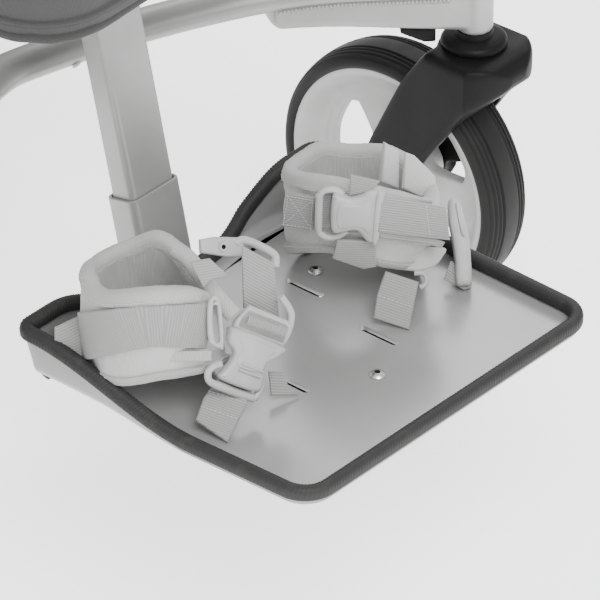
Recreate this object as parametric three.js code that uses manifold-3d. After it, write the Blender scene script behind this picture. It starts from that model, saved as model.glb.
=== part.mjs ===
// A special needs stroller: a wheeled frame with a tilting seat, a reclining back, a hanging leg
// rest and a footplate with two padded ankle cuffs. Millimetres, +Z is up and -Y is the front.
// Places are given from the middle of the footplate, on the floor, until the last lines move the
// whole model so that its origin is the middle of its own footprint.
import * as THREE from "three";
import { mergeVertices } from "three/addons/utils/BufferGeometryUtils.js";
import Module from "manifold-3d";

const wasm = await Module();
wasm.setup();

// Clearances and the fineness of round shapes
const clearance = 0.3;
const overrun = 4;
const weldDistance = 0.0001;
const tubeSides = 10;
const roundSides = 14;
const wheelSides = 20;
const pinSides = 8;
const cornerSteps = 3;
const bendSteps = 4;
const bowSteps = 3;
const gussetSteps = 4;

// Front bow: one oval tube, bent in three arcs from its middle, with an arm to each caster
const stemX = 290.5;
const bowWidth = 28;
const bowHeight = 21;
const bowZ = 269;
const bowApexY = 257.5;
const bowArcs = [
  { radius: 60, heading: THREE.MathUtils.degToRad(11.5) },
  { radius: 640, heading: THREE.MathUtils.degToRad(26.5) },
  { radius: 250, heading: THREE.MathUtils.degToRad(45) },
];

// Caster heads: a housing for the stem and a gusset welded under the arm
const housingRadius = 13;
const housingBottomZ = 233.5;
const housingTopZ = 287;
const stemRadius = 7;
const stemTopZ = 277;
const gussetLength = 142;
const gussetThickness = 24;
const gussetEndDepth = 11;
const gussetRootDepth = 22;
const gussetEndBevel = 4;

// Front wheels
const frontWheelRadius = 97;
const frontTyreWidth = 44;
const frontBeadRadius = 84;
const casterTrail = 59;
const axleRadius = 5;
const rimWall = 8;
const rimWidth = 38;
const rimWebThickness = 9;
const rimHubRadius = 20;
const rimHubWidth = 44;
const frontSpokeCount = 3;
const rearSpokeCount = 5;
const spokeWidthShare = 0.42;
const windowTurn = THREE.MathUtils.degToRad(22);

// Forks: a crown over the tyre and a leg on each side of it
const forkReach = 98;
const forkHeight = 124;
const forkNoseRadius = 40;
const legGap = 3;
const legThickness = 10;
const forkEdge = 4;
const bossRadius = 17;
const crownClearance = 4;
const collarRadius = 25;
const collarHeight = 18;
const capRadius = 22.5;
const capTopRadius = 16;
const capHeight = 8;
const boltHeadRadius = 9;
const boltHeadHeight = 4;

// Swivel locks: a rocking tab under each gusset
const lockStart = 27;
const lockLength = 24;
const lockWidth = 16;
const lockDepth = 11;

// Side frames: a low rail, a front leg and a rear leg on each side
const frameX = 235;
const frameTubeRadius = 14;
const hubY = 420;
const hubZ = 547;
const hubRadius = 36;
const hubWidth = 34;
const rearAxleY = 680;
const rearBossRadius = 23;
const rearBossWidth = 34;

// Rear wheels, their axle and the brake
const rearWheelRadius = 150;
const rearTyreWidth = 46;
const rearBeadRadius = 122;
const rearWheelX = 290;
const rearAxleRadius = 15;
const rearStubRadius = 6;
const rearCapRadius = 14;
const rearCapWidth = 4;
const pedalDrop = 38;
const pedalReach = 46;
const pedalArmHalf = 70;
const pedalArmWidth = 16;
const pedalBarRadius = 9;
const pedalBarLength = 190;
const pedalCollarRadius = 21;

// Handle: two folding arms, a bar that tilts at their ends and a foam grip
const handleX = 268;
const handleTubeRadius = 14;
const handleLength = 430;
const handleLift = THREE.MathUtils.degToRad(48.4);
const handleDiscRadius = 33;
const handleDiscWidth = 31;
const angleDiscRadius = 25;
const angleDiscWidth = 15;
const handleBarReach = 172;
const handleBarRadius = 12;
const handleBendRadius = 55;
const gripRadius = 17;
const gripLength = 360;
const buttonRadius = 11;
const buttonStemRadius = 7;
const buttonProud = 6;
const buttonTravel = 6;

// Seat frame, its board and its tilt tube
const tiltY = 258;
const tiltTubeRadius = 12.5;
const railX = 100;
const railWidth = 25;
const railHeight = 20;
const railFrontY = 140;
const railRearY = 410;
const lugThickness = 20;
const lugRadius = 24;
const uprightWidth = 21;
const uprightDepth = 26;
const reclineZ = 429;
const seatBarDepth = 24;
const seatBarY = 330;
const boardThickness = 5;
const boardInset = 6;

// Seat cushion
const seatBaseZ = 417;
const seatFrontY = 79;
const seatRearY = 378;
const seatWidth = 282;
const seatThickness = 56;
const seatCornerRadius = 46;
const cushionDrawIn = 4;

// Back frame and its cushions
const backLean = THREE.MathUtils.degToRad(15);
const backTubeX = 74;
const backTubeRadius = 10;
const backTubeLength = 545;
const backBendRadius = 34;
const backBarLift = 40;
const backPadWidth = 300;
const backPadLength = 410;
const backPadThickness = 48;
const backPadStart = 28;
const headPadWidth = 236;
const headPadLength = 124;
const headPadThickness = 52;
const headPadProud = 31;
const padCornerRadius = 40;
const backPlateThickness = 4;
const pivotPinRadius = 5;

// Harness and belt webbing
const webbingWidth = 30;
const webbingThickness = 2;
const softGap = 1;
const harnessX = 58;
const harnessStart = 60;
const harnessEnd = 350;
const chestStrapPlace = 225;
const beltY = 262;
const buckleLength = 56;
const buckleWidth = 38;
const buckleThickness = 11;
const buckleCorner = 6;

// Leg rest: a hanger tube from the seat and a sleeve that slides on it
const hangerWidth = 40;
const hangerDepth = 20;
const hangerWall = 2;
const hangerCornerRadius = 4;
const hangerTopY = 174;
const hangerTopZ = 397;
const hangerLean = THREE.MathUtils.degToRad(12);
const hangerBottomZ = 143;
const bracketThickness = 6;
const bracketRadius = 14;
const bracketBarY = 218;
const hangerPinRadius = 5;
const pinHeadRadius = 8;
const pinHeadWidth = 3;
const sleeveClearance = 0.4;
const sleeveWall = 2.1;
const sleeveCornerRadius = 5;
const sleeveTopZ = 231;
const sleeveBottomZ = 137;
const ankleY = 97;
const ankleZ = 155;
const ankleRadius = 8;
const ankleWidth = 20;
const anklePinRadius = 3;
const clampZ = 153;
const clampBossRadius = 10;
const clampBossLength = 10;
const clampScrewRadius = 4;
const clampKnobRadius = 14;
const clampKnobLobe = 2;
const clampKnobLobes = 5;
const clampKnobWidth = 12;
const clampNeck = 4;

// Footplate: a pan whose walls rise to its rear corners, and its edge trim
const plateZ = 172;
const plateThickness = 3;
const plateRearY = 115;
const plateFrontY = -112;
const plateRearHalf = 141;
const plateFrontHalf = 133;
const plateFrontSkew = 8;
const plateRearRadius = 9;
const plateFrontRadius = 20;
const plateSideSteps = 5;
const plateWallHeight = 27;
const plateWallReach = 136;
const plateWallHalf = 112;
const plateWallLeanShare = 0.16;
const plateLipHeight = 7;
const plateLipGrip = 5;
const plateFootWidth = 10;
const plateMiddleHalf = 34;
const plateMiddleDip = 8;
const trimWidth = 8.4;
const trimTop = 3.4;
const slotLength = 30;
const slotWidth = 5;
const slotPlaces = [
  { x: 34, y: -28 },
  { x: -41, y: -19 },
  { x: 45, y: 42 },
];

// Bracket under the footplate, with screws through the pan
const footBracketThickness = 4;
const footBracketWidth = 30;
const footBracketReach = 118;
const footBracketY = -26;
const footEarThickness = 6;
const screwRadius = 3;
const screwHeadRadius = 5;
const screwHeadHeight = 2.2;
const rearScrewX = 64;
const rearScrewY = 49;
const frontScrewY = -55;

// Ankle cuffs: padded bands open at the top, each with webbing and two buckles
const cuffWall = 9;
const cuffSteps = 20;
const cuffRearHeight = 92;
const cuffFrontHeight = 76;
const cuffFrontLift = 25;
const cuffTopFlare = 4;
const cuffs = {
  r: {
    x: -89,
    y: 42,
    halfWidth: 31,
    halfDepth: 37,
    leanX: -6,
    leanY: -2,
    turn: THREE.MathUtils.degToRad(-12),
    frontClip: THREE.MathUtils.degToRad(-74),
    sideClip: THREE.MathUtils.degToRad(-4),
    tail: THREE.MathUtils.degToRad(-84),
  },
  l: {
    x: 79,
    y: 27,
    halfWidth: 31,
    halfDepth: 38,
    leanX: -2,
    leanY: -4,
    turn: THREE.MathUtils.degToRad(14),
    frontClip: THREE.MathUtils.degToRad(-158),
    sideClip: THREE.MathUtils.degToRad(-62),
    tail: THREE.MathUtils.degToRad(-126),
  },
};
const strapLift = 42;
const clipLength = 46;
const clipWidth = 34;
const clipThickness = 9;
const clipCorner = 5;
const clipGap = 0.6;
const tailLength = 30;

// Finishes
const silverPaint = { color: 0xb9b7b4, roughness: 0.38, metalness: 0.45 };
const greyPlate = { color: 0x9c9b99, roughness: 0.3, metalness: 0.1 };
const darkPlastic = { color: 0x3a3a3a, roughness: 0.45, metalness: 0 };
const palePlastic = { color: 0xbdbdbb, roughness: 0.4, metalness: 0 };
const rubber = { color: 0x2b2b2b, roughness: 0.75, metalness: 0 };
const rimPlastic = { color: 0xb4b4b3, roughness: 0.42, metalness: 0 };
const paleFabric = { color: 0xc6c6c4, roughness: 0.95, metalness: 0 };
const greyWebbing = { color: 0xa4a4a3, roughness: 0.9, metalness: 0 };
const darkFabric = { color: 0x5a5a5b, roughness: 0.92, metalness: 0 };
const steel = { color: 0xc9c9c9, roughness: 0.3, metalness: 1 };
const foam = { color: 0x303030, roughness: 0.9, metalness: 0 };

const sides = [
  { name: "r", sign: -1 },
  { name: "l", sign: 1 },
];
const up = new THREE.Vector3(0, 0, 1);
const across = new THREE.Vector3(1, 0, 0);
const back = new THREE.Vector3(0, 1, 0);

// Places that follow from the sizes above
const bowHalf = bowHalfLine();
const armAngle = bowArcs[bowArcs.length - 1].heading;
const stemY = bowHalf[0].y;
const frontAxleY = stemY + casterTrail;
const frontAxleZ = frontWheelRadius;
const frameFrontY = stemY + (stemX - frameX) * Math.tan(armAngle);
const crownTopZ = frontAxleZ + forkHeight;
const legSlope = (hubZ - bowZ) / (hubY - frameFrontY);
const tiltZ = bowZ + (tiltY - frameFrontY) * legSlope;
const boardTopZ = seatBaseZ - clearance;
const railTopZ = boardTopZ - boardThickness - clearance;
const railZ = railTopZ - railHeight / 2;
const reclineY = railRearY - uprightDepth / 2;
const frontLegRadius = frontTyreWidth / 2 + legGap + legThickness;

// A point
function at(x, y, z) {
  return new THREE.Vector3(x, y, z);
}

// Half of the bow's middle line in plan, from the left caster stem to the middle
function bowHalfLine() {
  const points = [new THREE.Vector2(0, bowApexY)];
  let heading = 0;
  for (const arc of bowArcs) {
    const start = points[points.length - 1];
    for (let i = 1; i <= bowSteps; i += 1) {
      const turn = heading + ((arc.heading - heading) * i) / bowSteps;
      const x = start.x + arc.radius * (Math.sin(turn) - Math.sin(heading));
      points.push(new THREE.Vector2(x, start.y - arc.radius * (Math.cos(heading) - Math.cos(turn))));
    }
    heading = arc.heading;
  }
  const last = points[points.length - 1];
  points.push(new THREE.Vector2(stemX, last.y - (stemX - last.x) * Math.tan(heading)));
  return points.reverse();
}

// A closed solid from a geometry, ready to be joined and cut
function solid(geometry) {
  const bare = geometry.clone();
  bare.deleteAttribute("normal");
  bare.deleteAttribute("uv");
  const merged = mergeVertices(bare, weldDistance);
  return new wasm.Manifold(
    new wasm.Mesh({
      numProp: 3,
      vertProperties: merged.attributes.position.array,
      triVerts: new Uint32Array(merged.index.array),
    }),
  );
}

// Several solids made one
function join(...pieces) {
  return pieces.reduce((whole, piece) => whole.add(piece));
}

// A solid with others taken out of it
function cut(piece, ...tools) {
  return tools.reduce((whole, tool) => whole.subtract(tool), piece);
}

// A box, given its size and its middle
function block(width, depth, height, centre) {
  const geometry = new THREE.BoxGeometry(width, depth, height);
  return solid(geometry.translate(centre.x, centre.y, centre.z));
}

// A round bar between two points
function rod(radius, from, to, count = tubeSides) {
  const line = to.clone().sub(from);
  const geometry = new THREE.CylinderGeometry(radius, radius, line.length(), count);
  geometry.applyQuaternion(new THREE.Quaternion().setFromUnitVectors(back, line.normalize()));
  const middle = from.clone().add(to).divideScalar(2);
  return solid(geometry.translate(middle.x, middle.y, middle.z));
}

// A round bar along X, from the middle plane's distance "from" to "to"
function crossRod(radius, from, to, y, z, count = roundSides) {
  return rod(radius, at(from, y, z), at(to, y, z), count);
}

// The radius of a bore whose flats clear a round bar by the clearance
function boreRadius(radius, count) {
  return (radius + clearance) / Math.cos(Math.PI / count);
}

// A bore along X that clears a round bar
function crossBore(radius, from, to, y, z, count = roundSides) {
  return crossRod(boreRadius(radius, count), from, to, y, z, count);
}

// A turned solid around the X axis: its profile is pairs of place along X and radius
function turned(profile, centre, count) {
  const points = profile.map(([along, radius]) => new THREE.Vector2(radius, along));
  const geometry = new THREE.LatheGeometry(points, count);
  geometry.applyQuaternion(new THREE.Quaternion().setFromUnitVectors(back, across));
  return outward(geometry.translate(centre.x, centre.y, centre.z));
}

// A turned solid around the Z axis: its profile is pairs of radius and height
function turnedUp(profile, centre, count) {
  const points = profile.map(([radius, height]) => new THREE.Vector2(radius, height));
  const geometry = new THREE.LatheGeometry(points, count);
  geometry.applyQuaternion(new THREE.Quaternion().setFromUnitVectors(back, up));
  return outward(geometry.translate(centre.x, centre.y, centre.z));
}

// A closed geometry as a solid, turned face about where its faces point in
function outward(geometry) {
  const made = solid(geometry);
  if (made.volume() > 0) {
    return made;
  }
  const flipped = mergeVertices(bareCopy(geometry), weldDistance);
  const order = flipped.index.array;
  for (let i = 0; i < order.length; i += 3) {
    [order[i + 1], order[i + 2]] = [order[i + 2], order[i + 1]];
  }
  return solid(flipped);
}

// A copy of a geometry with positions alone
function bareCopy(geometry) {
  const copy = geometry.clone();
  copy.deleteAttribute("normal");
  copy.deleteAttribute("uv");
  return copy;
}

// A rectangle with round corners, about the origin
function roundedRectangle(width, height, radius) {
  const shape = new THREE.Shape();
  const x = width / 2 - radius;
  const y = height / 2 - radius;
  const quarter = Math.PI / 2;
  shape.absarc(x, y, radius, 0, quarter);
  shape.absarc(-x, y, radius, quarter, 2 * quarter);
  shape.absarc(-x, -y, radius, 2 * quarter, 3 * quarter);
  shape.absarc(x, -y, radius, 3 * quarter, 4 * quarter);
  return shape;
}

// An extruded shape, centred on its own thickness, with rolled edges where "edge" is given
function extruded(shape, thickness, edge = 0) {
  const geometry = new THREE.ExtrudeGeometry(shape, {
    depth: thickness - 2 * edge,
    curveSegments: cornerSteps,
    bevelEnabled: edge > 0,
    bevelThickness: edge,
    bevelSize: edge,
    bevelOffset: -edge,
    bevelSegments: 1,
  });
  return geometry.translate(0, 0, edge - thickness / 2);
}

// A side view shape (Y across the page, Z up the page) extruded along X about "x"
function sidePlate(shape, thickness, x, edge = 0) {
  const geometry = extruded(shape, thickness, edge);
  geometry.applyMatrix4(new THREE.Matrix4().makeBasis(back, up, across));
  return solid(geometry.translate(x, 0, 0));
}

// Rings of points joined into one closed skin; the ends are closed, or run into each other
function loft(rings, loop = false) {
  const count = rings[0].length;
  const position = rings.flat().flatMap((point) => [point.x, point.y, point.z]);
  const order = [];
  const spans = loop ? rings.length : rings.length - 1;
  for (let i = 0; i < spans; i += 1) {
    const j = (i + 1) % rings.length;
    for (let k = 0; k < count; k += 1) {
      const next = (k + 1) % count;
      const [a, b] = [i * count + k, i * count + next];
      const [c, d] = [j * count + k, j * count + next];
      order.push(a, b, d, a, d, c);
    }
  }
  if (!loop) {
    [0, rings.length - 1].forEach((end) => {
      const middle = new THREE.Vector3();
      rings[end].forEach((point) => middle.addScaledVector(point, 1 / count));
      const hub = position.length / 3;
      position.push(middle.x, middle.y, middle.z);
      for (let k = 0; k < count; k += 1) {
        const [a, b] = [end * count + k, end * count + ((k + 1) % count)];
        order.push(...(end ? [a, b, hub] : [b, a, hub]));
      }
    });
  }
  const geometry = new THREE.BufferGeometry();
  geometry.setAttribute("position", new THREE.Float32BufferAttribute(position, 3));
  geometry.setIndex(order);
  return outward(geometry);
}

// A section of [side, rise] pairs carried along points, its rise kept towards "lift"
function sweep(points, section, lift = up, loop = false) {
  const last = points.length - 1;
  const rings = points.map((point, i) => {
    const before = points[loop ? (i + last) % (last + 1) : Math.max(i - 1, 0)];
    const after = points[loop ? (i + 1) % (last + 1) : Math.min(i + 1, last)];
    const along = after.clone().sub(before).normalize();
    const side = along.clone().cross(lift).normalize();
    const rise = side.clone().cross(along);
    return section.map(([s, r]) => point.clone().addScaledVector(side, s).addScaledVector(rise, r));
  });
  return loft(rings, loop);
}

// The outline of an ellipse as [side, rise] pairs
function ellipse(halfWidth, halfHeight, count = tubeSides) {
  return Array.from({ length: count }, (_, i) => {
    const turn = (2 * Math.PI * i) / count;
    return [halfWidth * Math.cos(turn), halfHeight * Math.sin(turn)];
  });
}

// A flat band's section
function band(width, thickness) {
  const [w, t] = [width / 2, thickness / 2];
  return [[w, -t], [w, t], [-w, t], [-w, -t]];
}

// Straight runs between corners, each corner rounded to a radius
function bentPath(corners, radius) {
  const points = [corners[0]];
  for (let i = 1; i < corners.length - 1; i += 1) {
    const behind = corners[i - 1].clone().sub(corners[i]).normalize();
    const ahead = corners[i + 1].clone().sub(corners[i]).normalize();
    const half = behind.angleTo(ahead) / 2;
    const reach = radius / Math.tan(half);
    const middle = behind.clone().add(ahead).normalize();
    const centre = corners[i].clone().addScaledVector(middle, radius / Math.sin(half));
    const start = corners[i].clone().addScaledVector(behind, reach).sub(centre);
    const end = corners[i].clone().addScaledVector(ahead, reach).sub(centre);
    const sweepAngle = start.angleTo(end);
    for (let k = 0; k <= bendSteps; k += 1) {
      const share = k / bendSteps;
      const a = Math.sin((1 - share) * sweepAngle) / Math.sin(sweepAngle);
      const b = Math.sin(share * sweepAngle) / Math.sin(sweepAngle);
      points.push(centre.clone().addScaledVector(start, a).addScaledVector(end, b));
    }
  }
  points.push(corners[corners.length - 1]);
  return points;
}

const stroller = new THREE.Group();

// Adds one named piece to the stroller
function add(name, piece, finish) {
  const made = piece.getMesh();
  const geometry = new THREE.BufferGeometry();
  geometry.setAttribute("position", new THREE.BufferAttribute(made.vertProperties, 3));
  geometry.setIndex(new THREE.BufferAttribute(made.triVerts, 1));
  geometry.computeVertexNormals();
  const mesh = new THREE.Mesh(geometry, new THREE.MeshStandardMaterial(finish));
  mesh.name = name;
  stroller.add(mesh);
}

// Front bow and caster heads

// The bow's middle line from one stem to the other
function bowLine() {
  const right = bowHalf.slice(0, -1).map(({ x, y }) => at(-x, y, bowZ));
  const left = bowHalf.map(({ x, y }) => at(x, y, bowZ)).reverse();
  return [...right, ...left];
}

// A place on one side of the bow, measured from its stem, and the level way out to its front
function alongBow(distance, sign) {
  let rest = distance;
  let i = 0;
  while (rest > bowHalf[i].distanceTo(bowHalf[i + 1])) {
    rest -= bowHalf[i].distanceTo(bowHalf[i + 1]);
    i += 1;
  }
  const ahead = bowHalf[i + 1].clone().sub(bowHalf[i]).normalize();
  const place = bowHalf[i].clone().addScaledVector(ahead, rest);
  return { x: sign * place.x, y: place.y, outX: sign * ahead.y, outY: -ahead.x };
}

// The bow, grown by an allowance when it is used to cut what is welded to it
function bowSolid(grow) {
  return sweep(bowLine(), ellipse(bowWidth / 2 + grow, bowHeight / 2 + grow));
}

// An upright bar on a caster stem
function stemBar(radius, fromZ, toZ, sign, count = roundSides) {
  return rod(radius, at(sign * stemX, stemY, fromZ), at(sign * stemX, stemY, toZ), count);
}

// A side view shape, with distance from the stem across, extruded about one arm's upright plane
function armPlate(shape, thickness, sign) {
  const geometry = extruded(shape, thickness);
  const inward = at(-sign * Math.cos(armAngle), Math.sin(armAngle), 0);
  const normal = inward.clone().cross(up);
  geometry.applyMatrix4(new THREE.Matrix4().makeBasis(inward, up, normal));
  return outward(geometry.translate(sign * stemX, stemY, 0));
}

// The gusset under one arm, following the bow, grown by an allowance when it cuts its neighbour
function gussetSolid(sign, grow) {
  const half = gussetThickness / 2 + grow;
  const straight = Array.from({ length: gussetSteps + 1 }, (_, i) => (gussetLength * i) / gussetSteps);
  const stations = [...straight.slice(0, -1), gussetLength - gussetEndBevel, gussetLength];
  const rings = stations.map((distance, i) => {
    const { x, y, outX, outY } = alongBow(distance, sign);
    const lowZ = gussetBottomZ(distance) + (i === stations.length - 1 ? gussetEndBevel : 0);
    return [[half, bowZ], [half, lowZ], [-half, lowZ], [-half, bowZ]].map(([out, z]) =>
      at(x + outX * out, y + outY * out, z),
    );
  });
  return loft(rings);
}

add(
  "front_bow",
  cut(
    bowSolid(0),
    ...sides.map(({ sign }) => stemBar(housingRadius + clearance, 0, housingTopZ + overrun, sign)),
  ),
  silverPaint,
);
for (const { name, sign } of sides) {
  const housing = stemBar(housingRadius, housingBottomZ, housingTopZ, sign);
  const boreWidth = boreRadius(stemRadius, roundSides);
  const bore = stemBar(boreWidth, housingBottomZ - overrun, stemTopZ + clearance, sign);
  const gusset = cut(gussetSolid(sign, 0), bowSolid(clearance));
  const lower = gusset.decompose().sort((a, b) => b.volume() - a.volume())[0];
  add("caster_head_" + name, cut(join(housing, lower), bore), silverPaint);
}

// Swivel locks

// A tab that rocks on its far upper edge, its top following the gusset's underside
function lockSolid(sign) {
  const end = lockStart + lockLength;
  const shape = new THREE.Shape();
  shape.moveTo(lockStart, gussetBottomZ(lockStart) - clearance);
  shape.lineTo(lockStart, gussetBottomZ(lockStart) - lockDepth);
  shape.lineTo(lockStart + lockLength / 3, gussetBottomZ(lockStart) - lockDepth);
  shape.lineTo(end, gussetBottomZ(end) - lockDepth / 2);
  shape.lineTo(end, gussetBottomZ(end) - clearance);
  return armPlate(shape, lockWidth, sign);
}

// The underside of the gusset at a distance from the stem
function gussetBottomZ(distance) {
  const fall = (gussetRootDepth - gussetEndDepth) / gussetLength;
  return bowZ - bowHeight / 2 - gussetRootDepth + fall * distance;
}

for (const { name, sign } of sides) {
  add("swivel_lock_" + name, lockSolid(sign), darkPlastic);
}

// Forks, caps, axle bolts and wheels

// Points of the fork's side view, as shares of its reach ahead of the axle and of its height
const forkFrontShares = [[0.31, 0.06], [0.36, 0.2], [0.5, 0.39], [0.68, 0.585], [0.94, 0.8]];
const forkRearShares = [[0.33, 0.92], [0.21, 0.74], [0.07, 0.5], [-0.06, 0.27], [-0.13, 0.1]];
const forkNoseShares = [[1.01, 0.88], [0.99, 0.96]];

// Turns a share pair of the fork's side view into a point beside the axle
function forkPoint([reachShare, heightShare]) {
  return new THREE.Vector2(frontAxleY - reachShare * forkReach, frontAxleZ + heightShare * forkHeight);
}

// Points along a smooth curve through a few places
function curveThrough(places, steps) {
  return new THREE.SplineCurve(places).getPoints(steps);
}

// The fork's side view, from the axle boss up the front, over the crown and down the back
function forkShape() {
  const front = curveThrough(forkFrontShares.map(forkPoint), 2 * cornerSteps);
  const nose = curveThrough(forkNoseShares.map(forkPoint), cornerSteps);
  const rear = curveThrough(forkRearShares.map(forkPoint), 2 * cornerSteps);
  const crown = [-collarRadius, collarRadius].map((y) => new THREE.Vector2(stemY + y, crownTopZ));
  return new THREE.Shape([...front, ...nose, ...crown, ...rear]);
}

// The fork's plan, as tall as the fork: round about the stem and straight behind it
function forkPlanSolid(sign) {
  const half = frontLegRadius + overrun;
  const shape = new THREE.Shape();
  shape.absarc(0, 0, forkNoseRadius, Math.PI, 2 * Math.PI);
  shape.lineTo(half, forkReach + bossRadius);
  shape.lineTo(-half, forkReach + bossRadius);
  const height = forkHeight + overrun;
  const geometry = new THREE.ExtrudeGeometry(shape, { depth: 2 * height, bevelEnabled: false, curveSegments: pinSides });
  return solid(geometry.translate(sign * stemX, stemY, frontAxleZ - height));
}

// One fork: a crown with two legs, their bosses, and the collar and stem on top
function forkSolid(sign) {
  const middle = sign * stemX;
  const sideView = sidePlate(forkShape(), 2 * frontLegRadius, middle, forkEdge);
  const body = sideView.intersect(forkPlanSolid(sign));
  const boss = crossRod(bossRadius, middle - frontLegRadius, middle + frontLegRadius, frontAxleY, frontAxleZ);
  const slotHalf = frontTyreWidth / 2 + legGap;
  const tyreSpace = crossRod(
    frontWheelRadius + crownClearance,
    middle - slotHalf,
    middle + slotHalf,
    frontAxleY,
    frontAxleZ,
    wheelSides,
  );
  const collar = stemBar(collarRadius, crownTopZ - collarHeight, crownTopZ, sign);
  const stem = stemBar(stemRadius, crownTopZ - clearance, stemTopZ, sign);
  const reach = frontLegRadius + overrun;
  const bore = crossBore(axleRadius, middle - reach, middle + reach, frontAxleY, frontAxleZ, pinSides);
  const sink = boltHeadHeight + clearance;
  const wells = [-1, 1].map((end) =>
    crossBore(
      boltHeadRadius,
      middle + end * (frontLegRadius - sink),
      middle + end * reach,
      frontAxleY,
      frontAxleZ,
      pinSides,
    ),
  );
  return join(cut(join(body, boss, collar), tyreSpace, bore, ...wells), stem);
}

// The domed cap that closes the top of the fork
function capSolid(sign) {
  const bore = boreRadius(stemRadius, roundSides);
  const rise = capHeight;
  const base = crownTopZ + clearance;
  const profile = [
    [bore, 0],
    [capRadius, 0],
    [capRadius, rise / 3],
    [(capRadius + capTopRadius) / 2, (2 * rise) / 3],
    [capTopRadius, rise],
    [bore, rise],
    [bore, 0],
  ];
  return turnedUp(profile, at(sign * stemX, stemY, base), roundSides);
}

// The tyre from its bead over its shoulder and groove to its tread, as shares of its half width
// and of its height
const tyreShares = [[0.84, 0], [1, 0.3], [0.84, 0.72], [0.68, 0.84], [0.6, 0.72], [0.52, 0.88], [0.2, 1]];

// A tyre's section, bead to bead over the tread, with grooves round it
function tyreSolid(radius, width, bead, x, y, z) {
  const half = width / 2;
  const wall = radius - bead;
  const right = tyreShares.map(([acrossShare, riseShare]) => [acrossShare * half, bead + riseShare * wall]);
  const left = right.map(([along, r]) => [-along, r]).reverse();
  const profile = [...right, ...left];
  return turned([...profile, profile[0]], at(x, y, z), wheelSides);
}

// A window between two spokes, as a side view shape about the wheel's middle
function windowShape(inner, outer, turn, halfAngle) {
  const shape = new THREE.Shape();
  shape.absarc(0, 0, outer, turn - halfAngle, turn + halfAngle);
  shape.absarc(0, 0, inner, turn + halfAngle, turn - halfAngle, true);
  return shape;
}

// A rim: hub, thin web with windows, and the barrel that the tyre sits on
function rimSolid(bead, spokeCount, bore, x, y, z) {
  const half = rimWidth / 2;
  const web = rimWebThickness / 2;
  const seat = bead - clearance;
  const profile = [
    [-half, seat],
    [-half, seat - rimWall],
    [-web, seat - 2 * rimWall],
    [-web, rimHubRadius],
    [-rimHubWidth / 2, rimHubRadius],
    [-rimHubWidth / 2, bore],
    [rimHubWidth / 2, bore],
    [rimHubWidth / 2, rimHubRadius],
    [web, rimHubRadius],
    [web, seat - 2 * rimWall],
    [half, seat - rimWall],
    [half, seat],
  ];
  const disc = turned([...profile, profile[0]], at(x, y, z), wheelSides);
  const outer = seat - 2 * rimWall;
  const inner = rimHubRadius + rimWall;
  const halfAngle = (Math.PI / spokeCount) * (1 - spokeWidthShare);
  const windows = Array.from({ length: spokeCount }, (_, i) => {
    const shape = windowShape(inner, outer, windowTurn + (2 * Math.PI * i) / spokeCount, halfAngle);
    return sidePlate(shape, rimWebThickness + 2 * overrun, 0).translate([x, y, z]);
  });
  return cut(disc, ...windows);
}

// The bolt through a fork and its wheel
function boltSolid(sign) {
  const middle = sign * stemX;
  const face = frontLegRadius;
  const shaft = crossRod(axleRadius, middle - face, middle + face, frontAxleY, frontAxleZ, pinSides);
  const heads = [-1, 1].map((end) =>
    crossRod(
      boltHeadRadius,
      middle + end * (face - boltHeadHeight),
      middle + end * face,
      frontAxleY,
      frontAxleZ,
      pinSides,
    ),
  );
  return join(shaft, ...heads);
}

for (const { name, sign } of sides) {
  const x = sign * stemX;
  const bore = boreRadius(axleRadius, wheelSides);
  add("fork_" + name, forkSolid(sign), darkPlastic);
  add("caster_cap_" + name, capSolid(sign), darkPlastic);
  add("front_axle_" + name, boltSolid(sign), steel);
  add(
    "front_tyre_" + name,
    tyreSolid(frontWheelRadius, frontTyreWidth, frontBeadRadius, x, frontAxleY, frontAxleZ),
    rubber,
  );
  add(
    "front_rim_" + name,
    rimSolid(frontBeadRadius, frontSpokeCount, bore, x, frontAxleY, frontAxleZ),
    rimPlastic,
  );
}

// Side frames, hubs, tilt tube and rear axle

// The three tubes of one side frame, grown by an allowance
function frameTubes(sign, grow) {
  const x = sign * frameX;
  const radius = frameTubeRadius + grow;
  const front = at(x, frameFrontY, bowZ);
  const top = at(x, hubY, hubZ);
  const rear = at(x, rearAxleY, rearWheelRadius);
  return join(rod(radius, front, rear), rod(radius, front, top), rod(radius, top, rear));
}

for (const { name, sign } of sides) {
  const x = sign * frameX;
  const half = rearBossWidth / 2;
  const boss = crossRod(rearBossRadius, x - half, x + half, rearAxleY, rearWheelRadius);
  const bore = crossBore(
    rearAxleRadius,
    x - half - overrun,
    x + half + overrun,
    rearAxleY,
    rearWheelRadius,
  );
  const hubHalf = hubWidth / 2 + overrun;
  const hubSpace = crossRod(hubRadius + clearance, x - hubHalf, x + hubHalf, hubY, hubZ);
  const frame = cut(
    join(frameTubes(sign, 0), boss),
    bore,
    hubSpace,
    bowSolid(clearance),
    gussetSolid(sign, clearance),
  );
  const main = frame.decompose().sort((a, b) => b.volume() - a.volume())[0];
  add("side_frame_" + name, main, silverPaint);

  const hub = crossRod(hubRadius, x - hubWidth / 2, x + hubWidth / 2, hubY, hubZ);
  const stemHole = crossBore(
    buttonStemRadius,
    x - hubWidth / 2 - overrun,
    x + hubWidth / 2 + overrun,
    hubY,
    hubZ,
    pinSides,
  );
  add("hub_" + name, cut(hub, stemHole), darkPlastic);
}

add(
  "tilt_tube",
  cut(
    crossRod(tiltTubeRadius, -frameX, frameX, tiltY, tiltZ, tubeSides),
    frameTubes(-1, clearance),
    frameTubes(1, clearance),
  ),
  silverPaint,
);

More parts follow.
